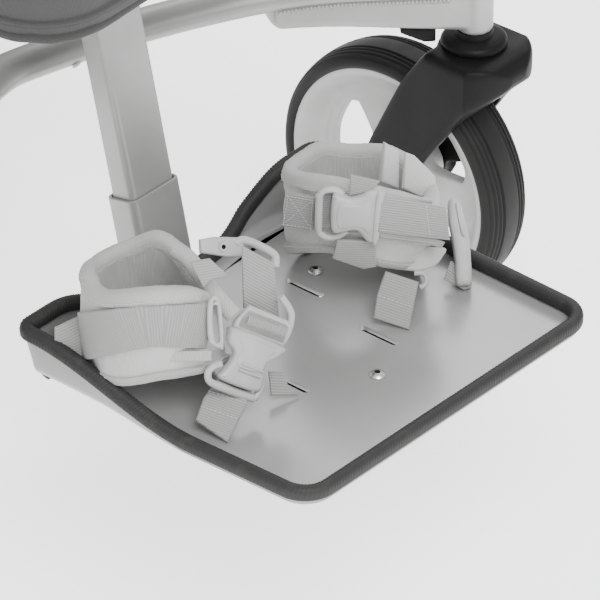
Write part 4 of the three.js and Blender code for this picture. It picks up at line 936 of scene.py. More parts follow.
@dataclass
class Stage:
    """The floor, the lights and the camera."""

    camera: tuple[float, float, float] = (-1573.2, -1326.4, 1592.0)
    azimuth: float = -49.7
    elevation: float = 34.0
    lens: float = 240.0
    sensor: float = 36.0
    floor_reach: float = 60000.0

    def build(self) -> None:
        """Makes the camera, the floor and the lights."""
        a, e = math.radians(self.azimuth), math.radians(self.elevation)
        backward = at(math.sin(a) * math.cos(e), -math.cos(a) * math.cos(e), math.sin(e))
        data = bpy.data.cameras.new("camera")
        data.lens, data.sensor_width = self.lens, self.sensor
        data.clip_end = 200.0
        camera = bpy.data.objects.new("camera", data)
        camera.location = placed(at(*self.camera))
        camera.rotation_mode = "QUATERNION"
        camera.rotation_quaternion = (-backward).to_track_quat("-Z", "Y")
        bpy.context.scene.collection.objects.link(camera)
        bpy.context.scene.camera = camera
        self._floor()
        self._light("key", at(-900, -1600, 2600), at(0, 0, 200), 1800, 115)
        self._light("fill", at(-2600, 600, 1700), at(0, 0, 300), 2200, 12)
        self._light("rim", at(2200, 1500, 2300), at(0, 0, 300), 2000, 42)
        world = bpy.data.worlds.new("studio")
        world.use_nodes = True
        world.node_tree.nodes["Background"].inputs[0].default_value = (*grey(1.0), 1.0)
        world.node_tree.nodes["Background"].inputs[1].default_value = 0.85
        bpy.context.scene.world = world

    def _floor(self) -> None:
        """A wide pale floor."""
        reach = self.floor_reach * METRE
        mesh = bpy.data.meshes.new("floor")
        mesh.from_pydata([(-reach, -reach, 0), (reach, -reach, 0), (reach, reach, 0), (-reach, reach, 0)],
            [], [(0, 1, 2, 3)])
        floor = bpy.data.objects.new("floor", mesh)
        board = Board("studio_floor")
        tone = board.tones(board.noise(0.4, 2), grey(0.93), grey(0.95))
        glow = {"emission_color": (1.0, 1.0, 1.0, 1.0), "emission_strength": 1.6}
        mesh.materials.append(board.surface(base_color=tone, roughness=0.7, specular_ior_level=0.2, **glow))
        bpy.context.scene.collection.objects.link(floor)

    def _light(self, name: str, place: Vector, aim: Vector, size: float, power: float) -> None:
        """A square soft light at a place, aimed at a point."""
        data = bpy.data.lights.new(name, "AREA")
        data.shape, data.size, data.energy = "SQUARE", size * METRE, power
        light = bpy.data.objects.new(name, data)
        light.location = placed(place)
        light.rotation_mode = "QUATERNION"
        light.rotation_quaternion = (aim - place).to_track_quat("-Z", "Y")
        bpy.context.scene.collection.objects.link(light)


# Front bow and casters


@dataclass
class Front:
    """The oval bow and the caster heads under its arms."""

    stem_x: float = 290.5
    bow_width: float = 28.0
    bow_height: float = 21.0
    bow_z: float = 269.0
    apex_y: float = 257.5
    arcs: tuple[Pair, ...] = ((60.0, 11.5), (640.0, 26.5), (250.0, 45.0))
    housing_radius: float = 12.7
    housing_bottom: float = 233.5
    housing_top: float = 287.0
    gusset_length: float = 142.0
    gusset_thickness: float = 23.6
    gusset_end: float = 11.0
    gusset_root: float = 22.0
    gusset_bevel: float = 5.0

    @property
    def stem_y(self) -> float:
        """The place of the caster stems along Y."""
        return self.half()[-1].y

    def half(self) -> list[Vector]:
        """The bow's middle line from its middle to the stem on the child's left."""
        x, y, heading = 0.0, self.apex_y, 0.0
        points = [at(x, y, self.bow_z)]
        for radius, end in self.arcs:
            step = (math.radians(end) - heading) / 16
            for _ in range(16):
                x += radius * (math.sin(heading + step) - math.sin(heading))
                y -= radius * (math.cos(heading) - math.cos(heading + step))
                heading += step
                points.append(at(x, y, self.bow_z))
        return points + [at(self.stem_x, y - (self.stem_x - x) * math.tan(heading), self.bow_z)]

    def along_arm(self, distance: float, z: float, sign: int) -> tuple[Vector, Vector]:
        """A place on an arm.

        Args:
            distance: how far along the arm the place is from the caster stem.
            z: its height.
            sign: 1 for the arm on the child's left, -1 for the other.

        Returns:
            The place and the level way from it towards the middle.
        """
        points = self.half()[::-1]
        for point, after in zip(points, points[1:]):
            run = (after - point).length
            way = (after - point).normalized()
            if distance <= run:
                break
            distance -= run
        place = point + way * distance
        return at(sign * place.x, place.y, z), at(sign * way.x, way.y, 0)

    def line(self, cut: float) -> list[Vector]:
        """The bow's middle line from one arm's end to the other's."""
        half = self.half()[:-1] + [self.along_arm(cut, self.bow_z, 1)[0]]
        return [at(-point.x, point.y, point.z) for point in reversed(half[1:])] + half

    def build(self) -> None:
        """Makes the bow with its rivets, and both caster heads with their welds."""
        bow = sweep(self.line(self.housing_radius - 2), oval(self.bow_width / 2, self.bow_height / 2, 48))
        piece("bow_tube", bow, SILVER, "chassis", ["front_bow"])
        for name, sign in SIDES.items():
            self._head(name, sign)
            self._weld(name, sign)
        skin = Skin()
        dome = [(0.0, 0.01), (0.0, 4.5), (1.2, 4.2), (2.4, 2.6), (2.9, 0.01)]
        for x in (-46, 46):
            y = float(np.interp(46, [point.x for point in self.half()], [point.y for point in self.half()]))
            outward = at(x / 180, -0.75, -0.55).normalized()
            skin.add(turned(dome, at(x, y - self.bow_width / 2 + 3.6, self.bow_z - 5.6), outward, 24))
        piece("bow_rivet", skin, SILVER, "chassis")

    def _head(self, name: str, sign: int) -> None:
        """One caster head: its housing flows into its gusset."""
        place = at(sign * self.stem_x, self.stem_y, 0)
        low, high = place + UP * self.housing_bottom, place + UP * self.housing_top
        housing = rod(self.housing_radius, low, high, 1.0, 64)
        top, bottom = self.bow_z - 3, self.bow_z - self.bow_height / 2
        rings = []
        for k in range(25):
            distance = self.gusset_length * k / 24
            depth = self.gusset_root + (self.gusset_end - self.gusset_root) * k / 24
            depth -= self.gusset_bevel * max(0.0, 1 - (self.gusset_length - distance) / 6)
            middle, inward = self.along_arm(distance, (top + bottom - depth) / 2, sign)
            side = inward.cross(UP)
            outline = rounded(self.gusset_thickness, top - bottom + depth, 3.2)
            rings.append([middle + side * s + UP * r for s, r in outline])
        head = Sculpt(1.3, 5).made([housing, Skin().loft(rings)])
        piece("head_casting_" + name, head, SILVER, "chassis", ["caster_head_" + name], crease=60)

    def _weld(self, name: str, sign: int) -> None:
        """The rippled weld between the gusset and the bow, on both sides."""
        skin = Skin()
        for face in (-1, 1):
            points, ways = [], []
            for k in range(49):
                height = self.bow_z - self.bow_height / 2 + 2.5
                place, inward = self.along_arm(20 + 116 * k / 48, height, sign)
                normal = inward.cross(UP) * face
                points.append(place + normal * (self.gusset_thickness / 2 - 0.6))
                ways.append((normal * 0.8 - UP * 0.6).normalized())
            skin.add(BeadLine(2.6, (3.6, 5.4, 3.4), sides=8).along(points, ways))
        piece("head_weld_" + name, skin, SILVER, "chassis", crease=80)


@dataclass
class Caster:
    """One fork with its cap, axle bolt and wheel."""

    name: str
    sign: int
    front: Front
    trail: float = 59.0
    wheel_radius: float = 97.0
    tyre_width: float = 44.0
    leg_gap: float = 3.0
    leg_thickness: float = 10.0
    height: float = 124.0
    nose_radius: float = 40.0
    collar_radius: float = 25.0
    cap_radius: float = 22.8

    @property
    def axle(self) -> Vector:
        """The middle of the wheel."""
        return at(self.sign * self.front.stem_x, self.front.stem_y + self.trail, self.wheel_radius)

    def build(self) -> None:
        """Makes the fork, the cap and the bolt."""
        body = "caster_" + self.name
        piece("fork_moulding_" + self.name, self._fork(), DARK, body, ["fork_" + self.name], crease=50)
        self._cap(body)
        self._bolt(body)

    def _profile(self) -> list[Pair]:
        """The fork's side view, as places behind and above the axle."""
        front = [(31, 5), (35.5, 24), (41.5, 37), (57.8, 60), (66.2, 73), (77, 86.6), (90.5, 99),
            (97.4, 107), (97.4, 115), (92, 122)]
        rear = [(37, 118), (29, 106), (22, 95.5), (13.5, 78.4), (0.6, 50.8), (-7.2, 33.1), (-12.6, 13)]
        top = [(84, 124), (60, 124), (42, 124)]
        outline = [tuple(p)[:2] for p in spline([(-r, h) for r, h in front], 3)]
        outline += [(-r, h) for r, h in top]
        outline += [tuple(p)[:2] for p in spline([(-r, h) for r, h in rear], 3)]
        turns = np.linspace(math.radians(215), math.radians(345), 12)
        boss = [(-17 * math.cos(t), 17 * math.sin(t)) for t in turns]
        return outline + [(-x, y) for x, y in [(-b[0], b[1]) for b in reversed(boss)]]

    def _fork(self) -> Skin:
        """The fork: a crown over the tyre and two legs, remeshed and smoothed."""
        half = self.tyre_width / 2 + self.leg_gap + self.leg_thickness
        to_side = Matrix((REAR, UP, ACROSS)).transposed().to_4x4()
        frame_of = Matrix.Translation(self.axle) @ to_side
        body = sheet_of(self._profile(), 2 * half, 5.0).moved(frame_of)
        boss = rod(17, self.axle - ACROSS * half, self.axle + ACROSS * half, 2.0, 64)
        stem = at(self.axle.x, self.front.stem_y, 0)
        top = self.axle.z + self.height
        collar = rod(self.collar_radius, stem + UP * (top - 18), stem + UP * (top + 0.4), 1.6, 64)
        slot = self.tyre_width / 2 + self.leg_gap
        space = rod(self.wheel_radius + 4, self.axle - ACROSS * slot, self.axle + ACROSS * slot, 6.0, 96)
        wells = [
            rod(9.5, self.axle + ACROSS * s * (half - 5), self.axle + ACROSS * s * (half + 10), 0.5, 32)
            for s in (-1, 1)
        ]
        solid = Sculpt(1.35, 7).made([body, boss, collar], [space, *wells])
        return solid.bent(lambda point: self._narrowed(point, stem.y, half))

    def _narrowed(self, point: Vector, stem_y: float, half: float) -> Vector:
        """A point of the fork drawn in towards the middle where the nose is round in plan."""
        ahead = min(max(stem_y - point.y, 0.0), self.nose_radius - 1)
        share = min(1.0, math.sqrt(self.nose_radius**2 - ahead**2) / half)
        return at(self.axle.x + (point.x - self.axle.x) * share, point.y, point.z)

    def _cap(self, body: str) -> None:
        """The domed cap and its neck."""
        base = at(self.axle.x, self.front.stem_y, self.axle.z + self.height + 1.6)
        line = [(0, self.cap_radius), (2.4, self.cap_radius), (4.6, self.cap_radius - 1.6), (6.2, 17.8),
            (7.0, 15.2)]
        smooth = [(p.x, p.y) for p in spline(line, 0.7)]
        cap = turned(smooth + [(7.4, 13.4), (11.4, 12.6), (11.4, 7.6), (0, 7.6)], base, UP, 96)
        groove = turned([(-1.6, 21.4), (-1.6, 7.6), (0.0, 7.6), (0.0, 21.4)], base, UP, 96)
        outward = at(-self.sign * 0.2, -1, 0).normalized()
        slot = sheet_of(rounded(7, 2.4, 1.1, 4), 3, 0.4)
        cap.add(slot.moved(basis(UP.cross(outward), UP, base + outward * 24.4 - UP * 8)))
        piece("cap_moulding_" + self.name, cap.add(groove), DARK, body, ["caster_cap_" + self.name],
            crease=50)

    def _bolt(self, body: str) -> None:
        """The axle bolt with a socket in each head."""
        half = self.tyre_width / 2 + self.leg_gap + self.leg_thickness
        skin = rod(5, self.axle - ACROSS * half, self.axle + ACROSS * half, 0.2, 24)
        for way in (-1, 1):
            head = [(0, 0.01), (0, 9), (3.2, 9), (3.8, 8.2), (4.0, 4.6), (2.0, 4.2), (1.8, 0.01)]
            skin.add(turned(head, self.axle + ACROSS * way * (half - 4), ACROSS * way, 48))
        piece("axle_bolt_" + self.name, skin, STEEL, body, ["front_axle_" + self.name])


@dataclass
class Wheel:
    """A moulded wheel: grooved tyre, flanged barrel and broad spokes."""

    name: str
    body: str
    centre: Vector
    radius: float
    width: float
    bead: float
    spokes: int
    hub_radius: float
    bore: float
    side: int
    rim_width: float = 38.0
    hub_width: float = 44.0
    web: float = 9.0
    window_turn: float = math.radians(10)

    def build(self) -> None:
        """Makes the tyre and the rim."""
        tyre = turned(self._tread(), self.centre, ACROSS, 160)
        piece("tyre_" + self.name, tyre, TYRE, self.body, [self.name.replace("_", "_tyre_")], crease=55)
        rim = turned(self._barrel(), self.centre, ACROSS, 128)
        rim.add(self._web())
        rim.add(self._hub())
        piece("rim_" + self.name, rim, RIM, self.body, [self.name.replace("_", "_rim_")], crease=45)

    def _tread(self) -> list[Pair]:
        """The tyre's section, with grooves near both edges of its tread."""
        half, wall = self.width / 2, self.radius - self.bead
        shares = [(0.86, 0.0), (0.97, 0.12), (1.0, 0.3), (0.95, 0.55), (0.84, 0.74), (0.66, 0.86),
            (0.4, 0.95), (0.2, 0.99), (0, 1)]
        right = [(p.x, p.y) for p in spline([(a * half, self.bead + r * wall) for a, r in shares], 0.55)]
        tread = []
        for along, r in right:
            depth = 0.0
            for groove in (0.86, 0.7, 0.54, 0.38):
                depth = max(depth, 1.8 * max(0.0, 1 - (abs(along - groove * half) / 1.1) ** 2))
            depth = depth if r > self.bead + 0.6 * wall else 0.0
            tread.append((along, r - depth))
        left = [(-along, r) for along, r in reversed(tread[:-1])]
        return tread + left

    def _barrel(self) -> list[Pair]:
        """The barrel with its flanges, as a closed section."""
        half, seat = self.rim_width / 2, self.bead - 0.3
        edge = [(half - 1, seat + 1), (half + 0.6, seat + 1.2), (half + 0.9, seat - 0.6),
            (half, seat - 3.5), (half - 4, seat - 7)]
        edge += [(self.web / 2 + 2.5, seat - 13), (self.web / 2 - 1, seat - 17)]
        outer = [(p.x, p.y) for p in spline(edge, 0.9)]
        inner = [(-along, r) for along, r in reversed(outer)]
        return outer + inner

    def _web(self) -> Skin:
        """The disc between hub and barrel, with a window between each two spokes."""
        outer = self.bead - 0.3 - 14
        inner, far = self.hub_radius + 7, self.bead - 23
        turns = np.linspace(0, 2 * math.pi, 128, endpoint=False)
        ring = [(outer * math.cos(t), outer * math.sin(t)) for t in turns]
        half = math.pi / self.spokes * 0.64
        holes = []
        for i in range(self.spokes):
            turn = self.window_turn + 2 * math.pi * i / self.spokes
            marks = []
            for r, spread in ((far, 0.0), (far, 0.66), (far - 3, 0.92), (far - 8, 0.96), (inner + 6, 0.76),
                (inner + 1, 0.4), (inner, 0.0)):
                marks.append((r, spread * half))
            marks += [(r, -a) for r, a in reversed(marks[1:-1])]
            line = [(r * math.cos(turn + a), r * math.sin(turn + a)) for r, a in marks]
            holes.append([(p.x, p.y) for p in spline(line, 2.0, True)])
        plate = sheet_of(ring, self.web, 1.6, holes)
        upright = Matrix((REAR, UP, ACROSS)).transposed().to_4x4()
        return plate.moved(Matrix.Translation(self.centre) @ upright)

    def _hub(self) -> Skin:
        """The hub with a stepped face at each end."""
        half, r = self.hub_width / 2, self.hub_radius
        right = [(0, r + 3), (self.web / 2, r + 2.5), (self.web / 2 + 2, r + 0.4), (half - 1.5, r - 0.6),
            (half, r - 2)]
        right += [(half, r - 5), (half - 1.5, r - 5.8), (half - 1.5, self.bore)]
        return turned(right + [(-a, b) for a, b in reversed(right[1:])], self.centre, ACROSS, 96)


# Leg rest


@dataclass
class LegRest:
    """The flat hanger tube with its sleeve and clamp knob."""

    top_y: float = 174.0
    top_z: float = 397.0
    lean: float = math.radians(12)
    width: float = 40.0
    depth: float = 20.0
    bottom_z: float = 143.0
    sleeve_top: float = 231.0
    sleeve_bottom: float = 137.0
    knuckle: Pair = (97.0, 155.0)

    def axis(self, z: float) -> Vector:
        """The middle of the hanger at a height."""
        return at(0, self.top_y + (z - self.top_z) * math.tan(self.lean), z)

    def prism(
        self, width: float, depth: float, radius: float, levels: Sequence[Pair]
    ) -> list[Ring]:
        """Rounded rectangular rings on the hanger, at pairs of a height and an inset."""
        along = at(0, math.sin(self.lean), math.cos(self.lean))
        depth_way = along.cross(ACROSS)
        rings = []
        for z, inset in levels:
            outline = rounded(width - 2 * inset, depth - 2 * inset, max(radius - inset, 0.4), 6)
            rings.append([self.axis(z) + ACROSS * x + depth_way * y for x, y in outline])
        return rings

    def tube(self, width: float, depth: float, wall: float, radius: float, low: float, high: float) -> Skin:
        """A hollow rounded tube between two heights, its rims rolled."""
        outside = [(low, 0.6), (low + 0.5, 0.0), (high - 0.5, 0.0), (high, 0.6)]
        inside = [(high, wall - 0.5), (high - 0.6, wall), (low + 0.6, wall), (low, wall - 0.5)]
        return Skin().loft(self.prism(width, depth, radius, outside + inside), loop=True)

    def build(self) -> None:
        """Makes the hanger, the sleeve and the knob."""
        hanger = self.tube(self.width, self.depth, 2.0, 4.5, self.bottom_z, self.top_z - 6)
        head = rod(self.depth / 2, at(-self.width / 2, self.top_y, self.top_z),
            at(self.width / 2, self.top_y, self.top_z), 1.0)
        piece("hanger_profile", hanger.add(head), SILVER, "leg_hanger", ["hanger_tube"])
        sleeve = self.tube(self.width + 5, self.depth + 5, 2.1, 5.5, self.sleeve_bottom, self.sleeve_top)
        knuckle_y, knuckle_z = self.knuckle
        sleeve.add(rod(8, at(-10, knuckle_y, knuckle_z), at(10, knuckle_y, knuckle_z), 0.8))
        link = sheet_of(rounded(20, 34, 2), 10, 0.8)
        sleeve.add(link.moved(Matrix.Translation(at(0, knuckle_y + 16, knuckle_z))))
        boss = self._behind(5.0), self._behind(22.0)
        sleeve.add(rod(10, *boss, 1.0))
        piece("sleeve_profile", sleeve, SILVER, "leg_sleeve", ["hanger_sleeve"])
        self._knob()

    def _behind(self, distance: float) -> Vector:
        """A point behind the hanger at the clamp's height."""
        return self.axis(self.bottom_z + 10) + at(0, math.cos(self.lean), -math.sin(self.lean)) * distance

    def _knob(self) -> None:
        """The five-lobed clamp knob on its screw."""
        count = 120
        outline = []
        for i in range(count):
            turn = 2 * math.pi * i / count
            r = 14 + 2 * math.cos(5 * turn)
            outline.append((r * math.cos(turn), r * math.sin(turn)))
        outward = (self._behind(1) - self._behind(0)).normalized()
        head = sheet_of(outline, 12, 2.4).moved(basis(ACROSS, outward.cross(ACROSS), self._behind(32.5)))
        piece("knob_moulding", head.add(rod(4, self._behind(10.3), self._behind(32), 0.2, 20)), DARK,
            "clamp", ["clamp_knob"])


# Footplate


@dataclass
class Footplate:
    """The pan with its slots and screws, and the ribbed trim on its lip."""

    z: float = 172.0
    wall: float = 3.0
    rear_y: float = 115.0
    front_y: float = -112.0
    rear_half: float = 141.0
    front_half: float = 133.0
    rear_corner: float = 9.0
    front_corner: float = 20.0
    skew: float = 8.0
    wall_half: float = 112.0
    height: float = 27.0
    reach: float = 136.0
    lean: float = 0.16
    lip: float = 7.0
    grip: float = 5.0
    middle_half: float = 34.0
    middle_dip: float = 8.0
    slots: tuple[tuple[float, float], ...] = ((34.0, -28.0), (-41.0, -19.0), (45.0, 42.0))
    slot_size: tuple[float, float] = (5.0, 30.0)
    screws: tuple[tuple[float, float], ...] = ((0.0, -55.0), (64.0, 49.0), (-64.0, 49.0))

    def edge(self) -> list[tuple[float, float, float, float, float]]:
        """The pan's top edge: points with the way out from the pan and the wall's height."""
        rear, front = self.rear_y - self.rear_corner, self.front_y + self.front_corner
        centres = [
            (self.rear_half - self.rear_corner, rear, self.rear_corner),
            (self.rear_corner - self.rear_half, rear, self.rear_corner),
            (self.front_corner - self.front_half, front, self.front_corner),
            (self.front_half - self.front_corner, front - self.skew, self.front_corner),
        ]
        corners = []
        for quarter, (x, y, radius) in enumerate(centres):
            for k in range(13):
                turn = (quarter + k / 12) * math.pi / 2
                corners.append((x + radius * math.cos(turn), y + radius * math.sin(turn), turn))
        line = []
        for i, (x, y, turn) in enumerate(corners):
            after = corners[(i + 1) % len(corners)]
            line.append((x, y, turn))
            if abs(after[2] - turn) < 1e-6 or i == len(corners) - 1:
                for k in range(1, 40):
                    share = k / 40
                    line.append((x + (after[0] - x) * share, y + (after[1] - y) * share, turn))
        result = []
        for x, y, turn in line:
            middle = max(0.0, 1 - (x / (2 * self.middle_half)) ** 2) if y > rear else 0.0
            result.append((x, y - self.middle_dip * middle, math.cos(turn), math.sin(turn),
                self.lip + self.height * self._share(x, y)))
        return result

    def _share(self, x: float, y: float) -> float:
        """How much of the full wall stands at a point of the edge."""

        def step(value: float, low: float, high: float) -> float:
            """A smooth step from 0 at low to 1 at high."""
            t = min(1.0, max(0.0, (value - low) / (high - low)))
            return t * t * (3 - 2 * t)

        if y > self.rear_y - self.rear_corner:
            return step(abs(x), self.middle_half, self.wall_half)
        return step(y, self.rear_y - self.reach, self.rear_y - self.rear_corner)

    def ring(self, inset: Callable[[float], float], lift: Callable[[float], float]) -> Ring:
        """The edge moved in and up by amounts that follow the wall's height."""
        marks = self.edge()
        return [at(x - ox * inset(h), y - oy * inset(h), self.z + lift(h)) for x, y, ox, oy, h in marks]

    def build(self) -> None:
        """Makes the pan, the trim and the screws."""
        self._pan()
        self._trim()
        skin = Skin()
        for x, y in self.screws:
            dome = [(0.2, 0.01), (0.2, 5.0), (0.9, 5.1), (1.8, 4.2), (2.5, 2.6), (2.7, 1.9), (1.3, 1.7),
                (1.2, 0.01)]
            skin.add(turned(dome, at(x, y, self.z), UP, 40))
        piece("plate_screws", skin, STEEL, "footplate")

    def _pan(self) -> None:
        """The pan: rings from its floor over its lip and round under it, with slots cut through."""
        lean = lambda h: (h - self.lip) * self.lean
        fillet = 11.0
        inner = []
        for k in range(9):
            turn = k / 8 * math.pi / 2
            inner.append(self.ring(
                lambda h, t=turn: self.wall + lean(h) + fillet * (1 - math.sin(t)),
                lambda h, t=turn: min(fillet, (h - self.grip) * 0.6) * (1 - math.cos(t)),
            ))
        rings = inner + [
            self.ring(lambda h: self.wall, lambda h: h - self.grip),
            self.ring(lambda h: self.wall, lambda h: h),
            self.ring(lambda h: 0.0, lambda h: h),
            self.ring(lambda h: 0.0, lambda h: h - self.grip),
        ]
        for k in range(9):
            turn = (8 - k) / 8 * math.pi / 2
            rings.append(self.ring(
                lambda h, t=turn: lean(h) + fillet * (1 - math.sin(t)),
                lambda h, t=turn: min(fillet, (h - self.grip) * 0.6) * (1 - math.cos(t)) - self.wall,
            ))
        pan = bpy.data.objects.new("pan", Skin().loft(rings).mesh("pan"))
        bpy.context.scene.collection.objects.link(pan)
        width, length = self.slot_size
        tool = Skin()
        for x, y in self.slots:
            slot = sheet_of(rounded(width, length, width / 2 - 0.01, 8), 30, 0.01)
            tool.add(slot.moved(Matrix.Translation(at(x, y, self.z))))
        helper = bpy.data.objects.new("slots", tool.mesh("slots"))
        bpy.context.scene.collection.objects.link(helper)
        change = pan.modifiers.new("slots", "BOOLEAN")
        change.operation, change.solver, change.object = "DIFFERENCE", "EXACT", helper
        skin = skin_of(evaluated(pan))
        for thing in (pan, helper):
            bpy.data.objects.remove(thing)
        piece("pan_shell", skin, PLATE, "footplate", ["foot_plate"], crease=30)

    def _trim(self) -> None:
        """The trim: a channel over the lip with a fine diagonal braid on it."""
        edge = self.ring(lambda h: self.wall / 2, lambda h: h)
        line = spline([tuple(p) for p in edge], 0.6, True)
        half, top, grip = 4.3, 3.4, self.grip
        section = [(-half * 0.9, -grip), (-half, -grip + 1), (-half, 0), (-half * 0.86, top * 0.55),
            (-half * 0.5, top * 0.92)]
        section += [(0, top), (half * 0.5, top * 0.92), (half * 0.86, top * 0.55), (half, 0),
            (half, -grip + 1)]
        section += [(half * 0.9, -grip), (1.9, -grip), (1.9, 0.3), (-1.9, 0.3), (-1.9, -grip)]
        pitch = 2.4
        rings = []
        travelled = 0.0
        ways = tangents(line, True)
        for i, (point, along) in enumerate(zip(line, ways)):
            side = along.cross(UP).normalized()
            rise = side.cross(along)
            ring = []
            for number, (s, r) in enumerate(section):
                ribbed = number in range(1, 10)
                phase = 2 * math.pi * (travelled / pitch + number * 0.24)
                swell = 0.32 * math.sin(phase) if ribbed else 0.0
                out = Vector((s, r)).normalized() * swell
                ring.append(point + side * (s + out.x) + rise * (r + out.y))
            rings.append(ring)
            travelled += 0.6
        piece("trim_channel", Skin().loft(rings, loop=True), TRIM, "footplate", ["plate_trim"], crease=60)


# Cloth


@dataclass
class Puff:
    """Cloth simulation that swells a closed skin as stuffing would."""

    voxel: float = 5.0
    reach: float = 6.0
    pressure: float = 4.0
    frames: int = 20

    def made(self, skin: Skin) -> Skin:
        """Args:
            skin: the closed skin, in millimetres.

        Returns:
            The swollen skin, in millimetres.
        """
        mesh = skin.mesh("puff")
        mesh.transform(Matrix.Scale(METRE, 4))
        thing = bpy.data.objects.new("puff", mesh)
        bpy.context.scene.collection.objects.link(thing)
        change = thing.modifiers.new("remesh", "REMESH")
        change.mode, change.voxel_size = "VOXEL", self.voxel * METRE
        thing.data = evaluated(thing)
        thing.modifiers.clear()
        self._swell(thing)
        change = thing.modifiers.new("round", "SUBSURF")
        change.levels = change.render_levels = 1
        finer = evaluated(thing)
        finer.transform(Matrix.Scale(1 / METRE, 4))
        bpy.data.objects.remove(thing)
        return skin_of(finer)

    def _swell(self, thing: bpy.types.Object) -> None:
        """Runs the simulation and moves each point no further than the reach."""
        before = [vertex.co.copy() for vertex in thing.data.vertices]
        change = thing.modifiers.new("cloth", "CLOTH")
        cloth = change.settings
        cloth.quality, cloth.mass = 6, 0.2
        cloth.tension_stiffness = cloth.compression_stiffness = 20.0
        cloth.shear_stiffness, cloth.bending_stiffness = 10.0, 0.6
        cloth.use_pressure, cloth.uniform_pressure_force = True, self.pressure
        cloth.effector_weights.gravity = 0.0
        change.collision_settings.use_collision = False
        change.point_cache.frame_start, change.point_cache.frame_end = 1, self.frames
        for frame_number in range(1, self.frames + 1):
            bpy.context.scene.frame_set(frame_number)
        swollen = evaluated(thing)
        thing.modifiers.clear()
        bpy.context.scene.frame_set(1)
        reach = self.reach * METRE
        for vertex, old, new in zip(thing.data.vertices, before, swollen.vertices):
            move = new.co - old
            vertex.co = old + move * min(1.0, reach / max(move.length, 1e-9))


def tree_of(skin: Skin) -> BVHTree:
    """A search tree of a skin's faces."""
    return BVHTree.FromPolygons([tuple(point) for point in skin.points], skin.faces)


